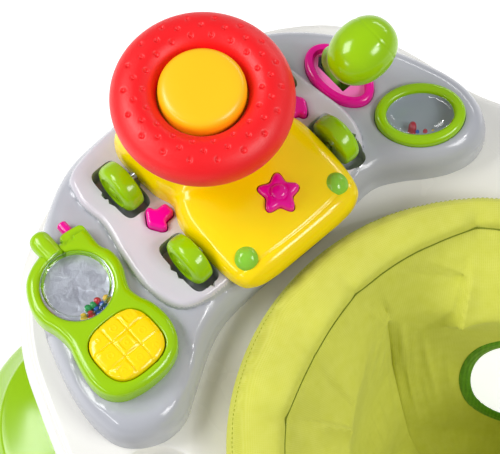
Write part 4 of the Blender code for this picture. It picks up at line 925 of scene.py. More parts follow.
def make_steering():
    z = low("steering_wheel").z + 19 * MM
    r = (high("steering_wheel").x - low("steering_wheel").x) / 2
    at = middle("steering_wheel")
    place = (at.x, at.y, 0)
    profile = profile_of([
        (8.4 * MM, z - 8 * MM), (8.4 * MM, z - 8 * MM), (34 * MM, z - 8 * MM), (34 * MM, z - 8 * MM),
        (40 * MM, z - 14.6 * MM), (50 * MM, z - 18.8 * MM), (61 * MM, z - 14.6 * MM), (r - 1.6 * MM,
                                                                                       z - 6 * MM),
        (r - 0.2 * MM, z + 1 * MM), (r - 0.9 * MM, z + 8 * MM), (r - 4.2 * MM, z + 14.2 * MM),
        (r - 10 * MM, z + 19 * MM), (52 * MM, z + 21.4 * MM), (46 * MM, z + 21.2 * MM), (40.5 * MM,
                                                                                         z + 18.6 * MM),
        (36.6 * MM, z + 14.5 * MM), (34.4 * MM, z + 9.6 * MM), (34.2 * MM, z + 9 * MM), (34.2 * MM,
                                                                                         z + 9 * MM),
        (34.2 * MM, z + 1 * MM), (34.2 * MM, z + 1 * MM), (8.4 * MM, z + 1 * MM), (8.4 * MM, z + 1 * MM),
        (8.4 * MM, z - 8 * MM),
    ], 9)[:-1]
    points, faces = turned(profile, 540, place, closed=True)
    points = np.array(points)
    radius = np.hypot(points[:, 0] - at.x, points[:, 1] - at.y)
    angle = np.arctan2(points[:, 1] - at.y, points[:, 0] - at.x)
    upper = points[:, 2] > z + 9 * MM
    for row, (ring, drop) in enumerate(((43.7 * MM, 1.7 * MM), (51.0 * MM, 2.0 * MM), (57.7 * MM, 1.8 * MM))):
        step = 2 * math.pi / 18
        turn = angle / step + 0.5 * (row % 2)
        off = (turn - np.round(turn)) * step * ring
        gap = np.hypot(off, (radius - ring) * 1.05)
        points[:, 2] -= upper * drop * (1 - ramp(gap, 0.3 * MM, 2.7 * MM))
    wheel = piece("wheel_grip", points.tolist(), faces, RED, "steering", ["steering_wheel"], 50,
                  "red_soft_plastic")
    wheel.data.shade_smooth()
    h = (high("horn_button").x - low("horn_button").x) / 2
    floor = low("horn_button").z
    horn = profile_of([
        (0, floor), (0, floor), (h - 1.5 * MM, floor), (h - 0.1 * MM, floor + 1.5 * MM), (h,
                                                                                          floor + 6 * MM),
        (h - 0.1 * MM, floor + 12.5 * MM), (h - 0.9 * MM, floor + 15.8 * MM), (h - 3 * MM,
                                                                               floor + 18.4 * MM),
        (h - 7 * MM, floor + 20 * MM), (h - 16 * MM, floor + 21.1 * MM), (0, floor + 21.6 * MM),
    ], 7)
    piece("horn", *turned(horn, 160, place), HORN_YELLOW, "horn", ["horn_button"], slot="yellow_plastic")


# ---------------------------------------------------------------- phone


def make_phone():
    at = middle("phone_window")
    centre = np.array([at.x, at.y])
    window_r = (high("phone_window").x - low("phone_window").x) / 2
    keys = middle("phone_keypad")
    key_loop = squircle(26.2 * MM, 24.0 * MM, 2.9, (keys.x, keys.y))
    key_well = squircle(27.0 * MM, 24.8 * MM, 2.9, (keys.x, keys.y))
    hole = oval(window_r + 0.4 * MM, window_r + 0.4 * MM, centre, 0, 200)
    chamber = oval(window_r - 1 * MM, window_r - 1 * MM, centre, 0, 200)
    base = low("phone_body").z
    loop = moved_in(phone_loop, -0.4 * MM)

    def height(spots):
        z = phone_top - 6.5 * MM + 6.5 * MM * shoulder(depth_inside(spots, loop), 8 * MM, 2.1)
        inside = depth_inside(spots, hole)
        z = z - 2.4 * MM * (1 - shoulder(-inside, 4.5 * MM, 2.0)) * (inside <= 0)
        z = np.where(inside > 0, np.minimum(z, phone_top - 3.9 * MM), z)
        z = np.where(depth_inside(spots, chamber) > 0, phone_top - 12.4 * MM, z)
        deep = depth_inside(spots, key_well)
        z = z - 1.2 * MM * (1 - shoulder(-deep, 2.2 * MM, 2.0)) * (deep <= 0)
        z = np.where(deep > 0, phone_top - 8.7 * MM, z)
        ear = (spots[:, 1] > 0.3215) & (spots[:, 0] > -0.1425)
        return np.where(ear, np.minimum(z, phone_top - 3.5 * MM), z)

    bands = [(loop, (0.15 * MM, 0.5 * MM, 1.1 * MM, 2 * MM, 3.2 * MM, 4.6 * MM, 6.2 * MM, 8 * MM)),
             (hole, (-4.5 * MM, -3 * MM, -1.8 * MM, -0.9 * MM, -0.35 * MM, -0.02 * MM, 0.1 * MM)),
             (chamber, (-0.1 * MM, 0.02 * MM)),
             (key_well, (-2.2 * MM, -1.3 * MM, -0.6 * MM, -0.2 * MM, -0.02 * MM, 0.1 * MM))]
    body = piece("phone_shell", *relief(loop, height, 1.7 * MM, bands, base), GREEN, bounce, ["phone_body"],
                 50,
                 "green_plastic")
    forward = Vector((0, 1, 0))
    antenna = middle("phone_antenna")
    foot = (antenna.x, low("phone_antenna").y, antenna.z)
    bore = [(0, -4 * MM), (8.6 * MM, -4 * MM), (9.1 * MM, 30 * MM), (0, 30 * MM)]
    carved(body, turned(bore, 48, foot, forward))
    pin = middle("phone_pin_button")
    pin_foot = (pin.x, low("phone_pin_button").y, pin.z)
    carved(body, turned([(0, -3 * MM), (4.6 * MM, -3 * MM), (4.6 * MM, 30 * MM), (0, 30 * MM)], 48, pin_foot,
                        forward))
    reach = high("phone_antenna").y - low("phone_antenna").y
    knob = profile_of([(0, 0), (0, 0), (8.2 * MM, 0), (8.2 * MM, 0), (8.5 * MM, 8 * MM),
                       (8.7 * MM, 14 * MM),
                       (8.2 * MM, reach - 5.4 * MM), (6.6 * MM, reach - 2.4 * MM), (3.6 * MM,
                                                                                    reach - 0.5 * MM),
                       (0, reach)], 6)
    piece("antenna", *turned(knob, 80, foot, forward), GREEN, bounce, ["phone_antenna"],
          slot="green_plastic")
    reach = high("phone_pin_button").y - low("phone_pin_button").y
    peg = profile_of([(0, 0), (0, 0), (4.2 * MM, 0), (4.2 * MM, 0), (4.25 * MM, reach - 3.6 * MM),
                      (3.6 * MM, reach - 1.3 * MM), (2 * MM, reach - 0.3 * MM), (0, reach)], 6)
    piece("pin", *turned(peg, 64, pin_foot, forward), MAGENTA, "phone_pin", ["phone_pin_button"],
          slot="magenta_plastic")
    make_phone_window(at, window_r)
    make_keypad(key_loop, keys)


def make_phone_window(at, window_r):
    floor = low("phone_mirror").z
    rng = random.Random(7)
    folds = []
    for _ in range(26):
        turn = rng.uniform(0, math.pi)
        folds.append((math.cos(turn), math.sin(turn), rng.uniform(60, 420), rng.uniform(0, 7),
                      rng.uniform(0.2, 1)))
    angle = np.linspace(0, 2 * math.pi, 180, endpoint=False)
    rings = []
    for k in range(46):
        r = max((window_r - 1.6 * MM) * (1 - k / 46), 0.05 * MM)
        x, y = r * np.cos(angle), r * np.sin(angle)
        z = np.zeros_like(x)
        for c, s, pitch, phase, size in folds:
            z += size / pitch * np.abs(np.sin((c * x + s * y) * pitch + phase)) * 2.2
        z = 0.25 * MM + (z - 0.02) * 0.075
        rings.append(np.column_stack([at.x + x, at.y + y,
                                      floor + 0.9 * MM + np.clip(z, -0.6 * MM, 1.4 * MM)]))
    rings.insert(0, np.column_stack([at.x + (window_r - 1.6 * MM) * np.cos(angle),
                                     at.y + (window_r - 1.6 * MM) * np.sin(angle), np.full(180, floor)]))
    piece("mirror_film", *skin(rings), FILM, bounce, ["phone_mirror"], 30, "foil")
    base = low("phone_window").z
    lens = profile_of([
        (0, base), (0, base), (window_r - 0.1 * MM, base), (window_r - 0.1 * MM,
                                                            base), (window_r - 0.1 * MM, base + 1.4 * MM),
        (window_r - 0.7 * MM, base + 2.4 * MM), (window_r - 1.8 * MM, base + 2.6 * MM),
        (window_r - 3.0 * MM, base + 2.0 * MM), (window_r - 3.6 * MM, base + 1.7 * MM),
        (window_r - 6 * MM, base + 2.4 * MM), (0, base + 3.5 * MM),
    ], 6)
    piece("window_lens", *turned(lens, 160, (at.x, at.y, 0)), CLEAR, bounce, ["phone_window"],
          slot="clear_plastic")
    colours = ["yellow", "red", "blue", "blue", "yellow", "green", "green", "red"]
    places = []
    height = low("phone_beads").z + 3.3 * MM
    reach = window_r - 1.4 * MM - 3.3 * MM
    step = 2 * math.asin(2.85 * MM / reach)
    for row, count in ((0, 5), (1, 3)):
        r = reach - row * 4.94 * MM
        for i in range(count):
            turn = math.radians(-90) + (i - (count - 1) / 2) * step
            places.append((at.x + r * math.cos(turn), at.y + r * math.sin(turn), height))
    make_beads("rattle_beads", places, colours, "phone_beads")


def make_beads(name, places, colours, node):
    """Round beads in one mesh, each bead's faces given the material of its colour."""
    points, faces, used = [], [], []
    for place, colour in zip(places, colours):
        profile = [(2.86 * MM * math.cos(a), 2.86 * MM * math.sin(a)) for a in np.linspace(-math.pi / 2,
                                                                                           math.pi / 2, 17)]
        shape = turned(profile, 28, place, Vector((0.4, 0.3, 0.87)))
        first = len(points)
        points += list(shape[0])
        faces += [tuple(first + i for i in face) for face in shape[1]]
        used += [colour] * len(shape[1])
    mesh = new_mesh(name, points, faces)
    order = sorted(set(colours))
    for colour in order:
        mesh.materials.append(BEADS[colour])
    for face, colour in zip(mesh.polygons, used):
        face.material_index = order.index(colour)
    mesh.shade_smooth()
    obj = new_object(name, mesh)
    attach(obj, bounce)
    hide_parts(node)


def make_keypad(loop, keys):
    top = high("phone_keypad").z
    pitch = 15.2 * MM

    def height(spots):
        inside = depth_inside(spots, loop)
        z = top - 4.2 * MM + 3.4 * MM * shoulder(inside, 7 * MM, 2.1)
        x, y = spots[:, 0] - keys.x, spots[:, 1] - keys.y
        z = z + 0.8 * MM * (1 - np.clip((x**2 + y**2) / (24 * MM) ** 2, 0, 1))
        for across in (x, y):
            for line in (-pitch / 2, pitch / 2):
                z = z - 1.1 * MM * bump(across - line, 0.75 * MM)
        for column in (-1, 0, 1):
            cx, cy = column * pitch, column * pitch
            edge = np.maximum(np.abs(x - cx), np.abs(y - cy)) * 0.72 + np.hypot(x - cx, y - cy) * 0.28
            z = z + 0.75 * MM * bump(edge - 5.3 * MM, 0.8 * MM)
        for column in (-1, 0, 1):
            for row in (-1, 0, 1):
                out = np.hypot(x - column * pitch, y - row * pitch)
                ring = 2.3 * MM if (column + row) % 2 else 1.6 * MM
                z = z + 0.28 * MM * bump(out - ring, 0.5 * MM)
        return z

    bands = [(loop, (0.1 * MM, 0.4 * MM, 0.9 * MM, 1.7 * MM, 2.8 * MM, 4.2 * MM, 6 * MM))]
    shape = relief(loop, height, 0.62 * MM, bands, low("phone_keypad").z)
    piece("keypad", *shape, YELLOW, "keypad", ["phone_keypad"], 60, "yellow_plastic")


# ---------------------------------------------------------------- gear lever


def make_gear():
    x, y = plate_place.x, plate_place.y
    top = high("gear_plate").z
    base = low("gear_plate").z
    loop = oval(32 * MM, 20.5 * MM, (x, y), PLATE_TURN, 200)
    dish = moved_in(loop, 6.4 * MM)

    def height(spots):
        z = top - 3.4 * MM + 3.4 * MM * shoulder(depth_inside(spots, loop), 3.6 * MM, 2.0)
        inside = depth_inside(spots, dish)
        z = z - (top - base - 3.2 * MM) * ramp(inside, -0.6 * MM, 1.6 * MM)
        return z

    bands = [(loop, (0.1 * MM, 0.4 * MM, 0.9 * MM, 1.7 * MM, 2.6 * MM, 3.6 * MM)),
             (dish, (-0.9 * MM, -0.5 * MM, 0.0, 0.5 * MM, 1.1 * MM, 1.7 * MM))]
    plate = piece("gear_plate_moulding", *relief(loop, height, 1.3 * MM, bands, base), MAGENTA, bounce,
                  ["gear_plate"],
                  50, "magenta_plastic")
    half = 7 * MM
    slot_loop = np.array([(x - half, y - 12 * MM), (x + half, y - 12 * MM), (x + half, y + 17 * MM),
                          (x, y + 24 * MM),
                          (x - half, y + 17 * MM)])
    carved(plate, prism(slot_loop, base - 5 * MM, top + 5 * MM))
    plate.data.materials.append(PINK)
    for face in plate.data.polygons:
        flat = np.array([face.center[:2]])
        if depth_inside(flat, dish)[0] > 1.0 * MM and face.center.z > base + 1 * MM:
            face.material_index = 1
    pivot = Vector((x, y, low("gear_lever").z + 6 * MM))
    knob = Vector((116.5 * MM, 274 * MM, deck + 102 * MM))
    route = smooth_path([pivot, pivot + Vector((0, 9.5, 17)) * MM, pivot + Vector((0, 14, 30)) * MM,
                         pivot + Vector((1, 11, 48)) * MM, knob + Vector((0, 8.5, -19)) * MM,
                         knob + Vector((0, 4, -8)) * MM], 12)
    circle = [(4.75 * MM * math.cos(a), 4.75 * MM * math.sin(a)) for a in np.linspace(0, 2 * math.pi, 28,
                                                                                      endpoint=False)]
    piece("gear_stalk", *swept([tuple(p) for p in route], circle, (1, 0, 0)), LAMP_GREEN, "gear",
          ["gear_lever"],
          slot="green_plastic")
    barrel = [(0, -8.4 * MM), (5.9 * MM, -8.4 * MM), (5.9 * MM, 8.4 * MM), (0, 8.4 * MM)]
    piece("gear_pivot", *turned(barrel, 40, pivot, Vector((1, 0, 0))), LAMP_GREEN, "gear",
          slot="green_plastic")
    profile = []
    for t in np.linspace(-math.pi / 2, math.pi / 2, 81):
        along = 28.7 * MM * math.sin(t)
        out = 23.7 * MM * max(math.cos(t), 0) ** 0.90
        out -= 0.45 * MM * math.exp(-(((along - 13 * MM) / (0.5 * MM)) ** 2))
        profile.append((max(out, 0), along))
    piece("gear_grip", *turned(profile, 160, knob, Vector((0.966, 0, 0.259))), GREEN, "gear", ["gear_knob"],
          slot="green_plastic")


# ---------------------------------------------------------------- oval window


def make_oval():
    top = high("oval_ring").z
    base = low("oval_ring").z
    outer = oval(35.4 * MM, 26.3 * MM, oval_place, OVAL_TURN, 200)
    inner = oval(26.6 * MM, 18.0 * MM, oval_place, OVAL_TURN, 200)
    profile = [(0.0, base), (0.0, top - 3.2 * MM), (0.5 * MM, top - 1.6 * MM), (1.6 * MM, top - 0.6 * MM),
               (3.2 * MM, top - 0.1 * MM), (4.6 * MM, top)]
    rings = [np.column_stack([moved_in(outer, d), np.full(200, z)]) for d, z in profile]
    profile = [(-2.4 * MM, top - 0.05 * MM), (-1.0 * MM, top - 0.6 * MM), (-0.2 * MM, top - 1.8 * MM),
               (0.0, top - 3.5 * MM),
               (0.0, base)]
    rings += [np.column_stack([moved_in(inner, d), np.full(200, z)]) for d, z in profile]
    piece("window_ring", *skin(rings, closed=True), GREEN, bounce, ["oval_ring"], 50, "green_plastic")
    rise = high("oval_dome").z - top + 4 * MM
    rings = [np.column_stack([moved_in(inner, 0.3 * MM), np.full(200, low("oval_dome").z)])]
    centre = np.array([oval_place.x, oval_place.y])
    for t in np.linspace(0, 1, 22):
        share = math.cos(t * math.pi / 2)
        z = top - 4 * MM + rise * (1 - share**2.2) ** (1 / 2.0)
        rings.append(np.column_stack([centre + (moved_in(inner, 0.3 * MM) - centre) * max(share, 0.004),
                                      np.full(200, z)]))
    piece("window_dome", *skin(rings), CLEAR, bounce, ["oval_dome"], 50, "clear_plastic")
    along = np.array([math.cos(OVAL_TURN), math.sin(OVAL_TURN)])
    towards_seat = np.array([along[1], -along[0]])
    places = []
    for step_along, row in ((-1.5, 0), (-0.5, 0), (0.5, 0), (1.5, 0), (-1.0, 1)):
        spot = centre + along * step_along * 5.7 * MM + towards_seat * (9.8 * MM - 4.94 * MM * row)
        places.append((spot[0], spot[1], low("oval_beads").z + 3.3 * MM))
    make_beads("window_beads", places, ["green", "blue", "red", "yellow", "red"], "oval_beads")


def make_electronics():
    for node, material in (("circuit_board", BOARD), ("speaker", BLACK)):
        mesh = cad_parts[node].data
        mesh.materials.clear()
        mesh.materials.append(material)


# ---------------------------------------------------------------- seat

SEAM = [(0, 158), (30, 163), (45, 166.8), (51, 165.7), (63, 159), (80, 152.4), (90, 149.7), (100, 147),
        (112, 145.5), (122, 147.6), (133, 151.7), (143, 154), (180, 155), (220, 156), (260, 154), (310, 156)]
# each fold starts at a corner of the seam: its angle there, its angle and height at its tip, its depth
FOLDS = [(50.6, 61, 0.372, 15.0), (89.6, 81.5, 0.385, 8.0), (112.3, 117, 0.395, 4.0),
         (132.7, 128, 0.392, 12.0),
         (165, 172, 0.380, 6.0), (205, 196, 0.375, 8.0), (248, 256, 0.380, 8.0), (292, 284, 0.375, 8.0),
         (335, 342, 0.380, 7.0), (15, 9, 0.385, 6.0)]


def wrapped(degrees):
    return (np.asarray(degrees) + 180) % 360 - 180


def seam_radius(degrees):
    angles, radii = np.array(SEAM, float).T
    r = smooth_between(np.asarray(degrees) % 360, angles, radii) * MM
    for start, _, _, depth in FOLDS:
        r = r + 0.16 * depth * MM * np.exp(-np.abs(wrapped(degrees - start)) / 2.6)
    return r


def smooth_between(value, places, values):
    """A smooth closed curve through the values round a circle of 360 degrees."""
    result = np.zeros_like(value)
    count = len(places)
    for i in range(count):
        a, b, c, d = (values[(i + k) % count] for k in (-1, 0, 1, 2))
        span = (places[(i + 1) % count] - places[i]) % 360
        t = ((value - places[i]) % 360) / span
        result = np.where(t < 1, catmull(a, b, c, d, np.clip(t, 0, 1)), result)
    return result


def ripple(degrees, seed, waves):
    """Irregular waves round the seat: a sum of a few numbers of waves with random phases."""
    rng = random.Random(seed)
    total = np.zeros_like(degrees)
    for _ in range(7):
        count = rng.randint(*waves)
        total += rng.uniform(0.4, 1) * np.sin(np.radians(degrees) * count + rng.uniform(0, 6.28))
    return total / 3.5


def make_seat():
    rim_top = high("seat_cloth").z
    rim_low = low("seat_ring").z
    flange = high("seat_ring").z
    barrel = (high("seat_ring").x - low("seat_ring").x) / 2 - 18 * MM
    wide = barrel + 18 * MM
    ring = profile_of([(barrel - 4 * MM, rim_low), (barrel - 4 * MM, rim_low), (barrel, rim_low),
                       (barrel, rim_low),
                       (barrel, deck + 0.6 * MM), (barrel, deck + 0.6 * MM), (wide - 0.8 * MM,
                                                                              deck + 0.6 * MM),
                       (wide, deck + 1.6 * MM), (wide, flange - 1 * MM), (wide - 1 * MM, flange),
                       (barrel - 4 * MM, flange), (barrel - 4 * MM, flange),
                        (barrel - 4 * MM, rim_low)], 3)[:-1]
    piece("swivel_ring", *turned(ring, 240, closed=True), GREY, "seat", ["seat_ring"], slot="grey_plastic")
    keep_low = low("seat_ring_keeper").z
    keeper = [(barrel - 4 * MM, keep_low), (barrel + 8 * MM, keep_low),
              (barrel + 8 * MM, keep_low + 3 * MM),
              (barrel - 4 * MM, keep_low + 3.7 * MM)]
    piece("swivel_keeper", *turned(keeper, 160, closed=True), GREY, "seat", ["seat_ring_keeper"],
          slot="grey_plastic")
    pad = make_rim_pad(rim_top, flange + 0.8 * MM)
    make_sling(rim_top)


def make_rim_pad(rim_top, under):
    """The stuffed band round the seat: a closed tube, gathered a little at its outer hem and its seam."""
    seam_height = rim_top - 12.4 * MM
    degrees = np.linspace(0, 360, 900, endpoint=False)
    theta = np.radians(degrees)
    inner = seam_radius(degrees)
    outer = 195.5 * MM + 1.6 * MM * ripple(degrees, 3, (3, 9))
    hem = ripple(degrees, 11, (40, 95))
    soft = ripple(degrees, 5, (9, 26))
    seam_pull = np.zeros_like(degrees)
    for start, _, _, depth in FOLDS:
        seam_pull += depth / 9 * np.exp(-((wrapped(degrees - start) / 2.4) ** 2))
    section = smooth_path([
        (0.02, 0.0), (0.5, -0.02), (0.93, 0.0), (1.0, 0.12), (1.015, 0.30), (0.985, 0.47), (0.945, 0.60),
        (0.905, 0.72), (0.905, 0.72), (0.84, 0.83), (0.70, 0.96), (0.50, 1.0), (0.30, 1.0), (0.14, 0.975),
        (0.045, 0.90), (0.005, 0.76), (0.005, 0.69), (0.005, 0.69), (0.01, 0.50), (0.02, 0.0),
    ], 6)[:-1]
    rings = []
    for across, up in section:
        r = inner + (outer - inner) * across
        z = np.full_like(r, under + (rim_top - 2.0 * MM - under) * up)
        upper = ramp(up, 0.3, 0.75)
        near_hem = math.exp(-(((across - 0.90) / 0.12) ** 2)) * upper
        near_seam = math.exp(-((across / 0.22) ** 2)) * upper
        z = z + 1.0 * MM * hem * near_hem + 1.6 * MM * soft * upper * (1 - near_hem) * (
            0.35 + 0.65 * (1 - near_seam))
        z = z - 3.2 * MM * seam_pull * math.exp(-((across / 0.34) ** 2)) * upper
        rings.append(np.column_stack([r * np.cos(theta), r * np.sin(theta), z]))
    points, faces = skin(rings, closed=True)
    pad = piece("seat_rim_pad", points, faces, CLOTH, "seat", ["seat_cloth"], 62, "seat_cloth")
    cloth_uv(pad, 0.19)
    line = 0.915
    r = inner + (outer - inner) * line
    height = under + (rim_top - 2 * MM - under) * 0.715 + 0.75 * MM * hem + 0.3 * MM
    stitches("hem_stitches", np.column_stack([r * np.cos(theta), r * np.sin(theta), height]), 3.6 * MM,
             2.4 * MM,
             0.55 * MM, THREAD, "seat")
    r = seam_radius(degrees) - 0.2 * MM
    stitches("seam_stitches", np.column_stack([r * np.cos(theta), r * np.sin(theta), 0 * r + seam_height]),
             2.0 * MM, 3.6 * MM, 1.1 * MM, SEAM_THREAD, "seat")
    return pad


def cloth_uv(obj, radius, down=1.0):
    """Unrolls a ring of cloth: along it by its angle, across it by its place up and out."""
    mesh = obj.data
    places = np.empty(len(mesh.vertices) * 3)
    mesh.vertices.foreach_get("co", places)
    places = places.reshape(-1, 3)
    corners = np.empty(len(mesh.loops), int)
    mesh.loops.foreach_get("vertex_index", corners)
    sizes = np.empty(len(mesh.polygons), int)
    mesh.polygons.foreach_get("loop_total", sizes)
    centres = np.empty(len(mesh.polygons) * 3)
    mesh.polygons.foreach_get("center", centres)
    centres = np.repeat(centres.reshape(-1, 3), sizes, axis=0)
    at = places[corners]
    turn = np.arctan2(at[:, 1], at[:, 0])
    turn += 2 * math.pi * np.round((np.arctan2(centres[:, 1], centres[:, 0]) - turn) / (2 * math.pi))
    across = np.hypot(at[:, 0], at[:, 1]) + at[:, 2] * down
    layer = mesh.uv_layers.new(name="cloth")
    layer.data.foreach_set("uv", np.stack([turn * radius, across], axis=1).ravel())


def make_sling(rim_top):
    """The bag that the child sits in: its own cloth, sewn to the rim, relaxed by a cloth simulation."""
    floor = low("seat_cloth").z + 2.5 * MM
    degrees = np.linspace(0, 360, 360, endpoint=False)
    theta = np.radians(degrees)
    seam_z = rim_top - 13.2 * MM
    r, z = bag_walls(degrees, floor, seam_z)
    for start, tip, tip_z, depth in FOLDS:
        t = np.clip((seam_z - z) / (seam_z - tip_z), 0, 1.6)
        off = wrapped(degrees - start - (tip - start) * t) * math.pi / 180 * r
        side = math.copysign(1, start - tip)
        flap = np.where(off * side > 0, np.exp(-np.abs(off) / (20 * MM)),
                        1 - ramp(np.abs(off), 0, 3.0 * MM))
        size = depth * MM * np.clip(t / 0.35, 0, 1) * np.clip(1 - (t - 0.75) / 0.45, 0, 1)
        r = r - size * flap
    depth_down = (seam_z - z) / (seam_z - floor)
    r = r + 1.6 * MM * ripple(degrees, 21, (5, 17)) * np.minimum(depth_down * 6, 1) * (1 - depth_down)
    rings = [np.column_stack([a * np.cos(theta), a * np.sin(theta), b]) for a, b in zip(r, z)]
    count = len(theta)
    points = np.concatenate(rings)
    faces = [(k * count + i, k * count + (i + 1) % count, (k + 1) * count + (i + 1) % count,
              (k + 1) * count + i)
             for k in range(len(rings) - 1) for i in range(count)]
    faces.append(tuple(range(len(points) - count, len(points))))
    sling = new_object("seat_sling", new_mesh("seat_sling", points, faces))
    relax(sling, count, 6 * MM)
    cut_leg_holes(sling, floor)
    finished(sling, CLOTH, "seat", ["seat_cloth"], 70)
    cloth_uv(sling, 0.14, 0.9)


# where the sloping upper cloth of the bag bends down: angle and radius of the corners of that line
BAG_LIP = [(15, 118), (61, 114), (82, 137), (133, 103), (180, 116), (225, 120), (270, 114), (315, 120)]


def bag_walls(degrees, floor, seam_z):
    """Radius and height of the bag, from the seam inwards and down, for each angle."""
    angles, radii = np.array(BAG_LIP, float).T
    corners = np.stack([radii * np.cos(np.radians(angles)), radii * np.sin(np.radians(angles))],
                       axis=1) * MM
    lip = np.zeros_like(degrees)
    for i in range(len(corners)):
        a, b = corners[i], corners[(i + 1) % len(corners)]
        span = (angles[(i + 1) % len(angles)] - angles[i]) % 360
        inside = ((degrees - angles[i]) % 360) <= span
        c, s = np.cos(np.radians(degrees)), np.sin(np.radians(degrees))
        reach = (a[0] * (b[1] - a[1]) - a[1] * (b[0] - a[0])) / (c * (b[1] - a[1]) - s * (b[0] - a[0]))
        lip = np.where(inside, reach, lip)
    lip_z = seam_z - 40 * MM + 5 * MM * ripple(degrees, 9, (3, 8))
    stations = [
        (0.0, seam_radius(degrees) + 0.4 * MM, seam_z - 1.5 * MM + 0 * degrees),
        (0.035, seam_radius(degrees) - 3.2 * MM, seam_z + 3.6 * MM + 0 * degrees),
        (0.30, lip, lip_z),
        (0.62, lip * 0.80 + 16 * MM, lip_z - 85 * MM),
        (0.80, lip * 0.30 + 48 * MM, floor + 16 * MM + 0 * degrees),
        (0.92, lip * 0 + 45 * MM, floor + 3 * MM + 0 * degrees),
        (1.0, lip * 0 + 2 * MM, floor + 0 * degrees),
    ]
    shares = np.linspace(0, 1, 110)
    r = np.array([[np.interp(t, [s[0] for s in stations],
                             [s[1][i] for s in stations]) for i in range(len(degrees))]
                  for t in shares])
    z = np.array([[np.interp(t, [s[0] for s in stations],
                             [s[2][i] for s in stations]) for i in range(len(degrees))]
                  for t in shares])
    for _ in range(5):
        r[1:-1] = (r[:-2] + 2 * r[1:-1] + r[2:]) / 4
        z[1:-1] = (z[:-2] + 2 * z[1:-1] + z[2:]) / 4
    return r, z


def relax(obj, pinned, most):
    """Relaxes cloth sewn along its first ring, for 20 frames; no point moves further than most."""
    before = np.array([v.co[:] for v in obj.data.vertices])
    group = obj.vertex_groups.new(name="sewn")
    group.add(list(range(pinned * 2)), 1.0, "REPLACE")
    cloth = obj.modifiers.new("cloth", "CLOTH")
    settings = cloth.settings
    settings.quality = 4
    settings.mass = 0.25
    settings.tension_stiffness = 12
    settings.compression_stiffness = 8
    settings.shear_stiffness = 4
    settings.bending_stiffness = 0.4
    settings.shrink_min = -0.02
    settings.vertex_group_mass = "sewn"
    settings.effector_weights.gravity = 0.25
    cloth.collision_settings.use_collision = False
    cloth.point_cache.frame_start = 1
    cloth.point_cache.frame_end = 20
    scene = bpy.context.scene
    for step in range(1, 21):
        scene.frame_set(step)
    bake(obj)
    scene.frame_set(1)
    after = np.array([v.co[:] for v in obj.data.vertices])
    move = after - before
    far = np.linalg.norm(move, axis=1)
    move *= np.minimum(1, most / np.maximum(far, 1e-9))[:, None]
    for vertex, co in zip(obj.data.vertices, before + move):
        vertex.co = co


HOLE_WIDE = 45 * MM
HOLE_HIGH = 60 * MM


def cut_leg_holes(sling, floor):
    """Opens the two leg holes, and binds each with ribbed tape that follows the cloth."""
    tree = BVHTree.FromObject(sling, bpy.context.evaluated_depsgraph_get())
    centres = np.array([face.center[:] for face in sling.data.polygons])
    gone = np.zeros(len(centres), bool)
    for side, name in ((-1, "left"), (1, "right")):
        lean = Vector((side * 0.93, 0.40, -0.22)).to_track_quat("Z", "Y").to_matrix()
        start = Vector((side * 16 * MM, 8 * MM, floor + 118 * MM))
        here = (centres - np.array(start)) @ np.array(lean)
        gone |= (here[:, 2] > 0) & ((here[:, 0] / HOLE_WIDE) ** 2 + (here[:, 1] / HOLE_HIGH) ** 2 < 1)
        path, outward = [], []
        for t in np.linspace(0, 2 * math.pi, 140, endpoint=False):
            point = start + lean @ (Vector((HOLE_WIDE * math.cos(t), HOLE_HIGH * math.sin(t), 0)) * 1.01)
            hit = tree.ray_cast(point, lean @ Vector((0, 0, 1)), 0.25)
            if hit[0] is not None:
                path.append(hit[0])
                outward.append(hit[1])
        bind(name + "_leg_binding", path, outward)
    bm = bmesh.new()
    bm.from_mesh(sling.data)
    bm.faces.ensure_lookup_table()
    bmesh.ops.delete(bm, geom=[bm.faces[i] for i in np.flatnonzero(gone)], context="FACES")
    bm.to_mesh(sling.data)
    bm.free()


def bind(name, path, normals):
    """Tape folded over an edge: a flattened tube round the hole, ribbed along its length."""
    path = np.array([p[:] for p in path])
    for _ in range(8):
        path = (np.roll(path, 1, axis=0) + 2 * path + np.roll(path, -1, axis=0)) / 4
    normals = np.array([n[:] for n in normals])
    ahead = np.roll(path, -1, axis=0) - np.roll(path, 1, axis=0)
    ahead /= np.linalg.norm(ahead, axis=1)[:, None]
    across = np.cross(ahead, normals)
    across /= np.linalg.norm(across, axis=1)[:, None]
    up = np.cross(across, ahead)
    rings = []
    for p, a, b in zip(path, across, up):
        ring = []
        for t in np.linspace(0, 2 * math.pi, 44, endpoint=False):
            rib = 1 + 0.09 * math.cos(9 * t)
            ring.append(p + a * 4.8 * MM * math.cos(t) + b * 1.9 * MM * math.sin(t) * rib)
        rings.append(ring)
    points, faces = skin(rings, closed=True)
    tape = piece(name, points, faces, TAPE, "seat", slot="seat_cloth")
    cloth_uv(tape, 0.06)


def stitches(name, path, pitch, length, thickness, material, body):
    """Sewing thread showing as short stitches along a closed path."""
    count = len(path)
    obj = new_object(name, new_mesh(name, path, [], [(i, (i + 1) % count) for i in range(count)]))
    step = obj.modifiers.new("stitches", "NODES")
    step.node_group = stitch_nodes()
    values = {"Pitch": pitch, "Stitch Length": length, "Thread": thickness, "Material": material}
    for item in step.node_group.interface.items_tree:
        if item.item_type == "SOCKET" and item.name in values:
            step[item.identifier] = values[item.name]
    bake(obj)
    obj.data.shade_smooth()
    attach(obj, body)
    return obj


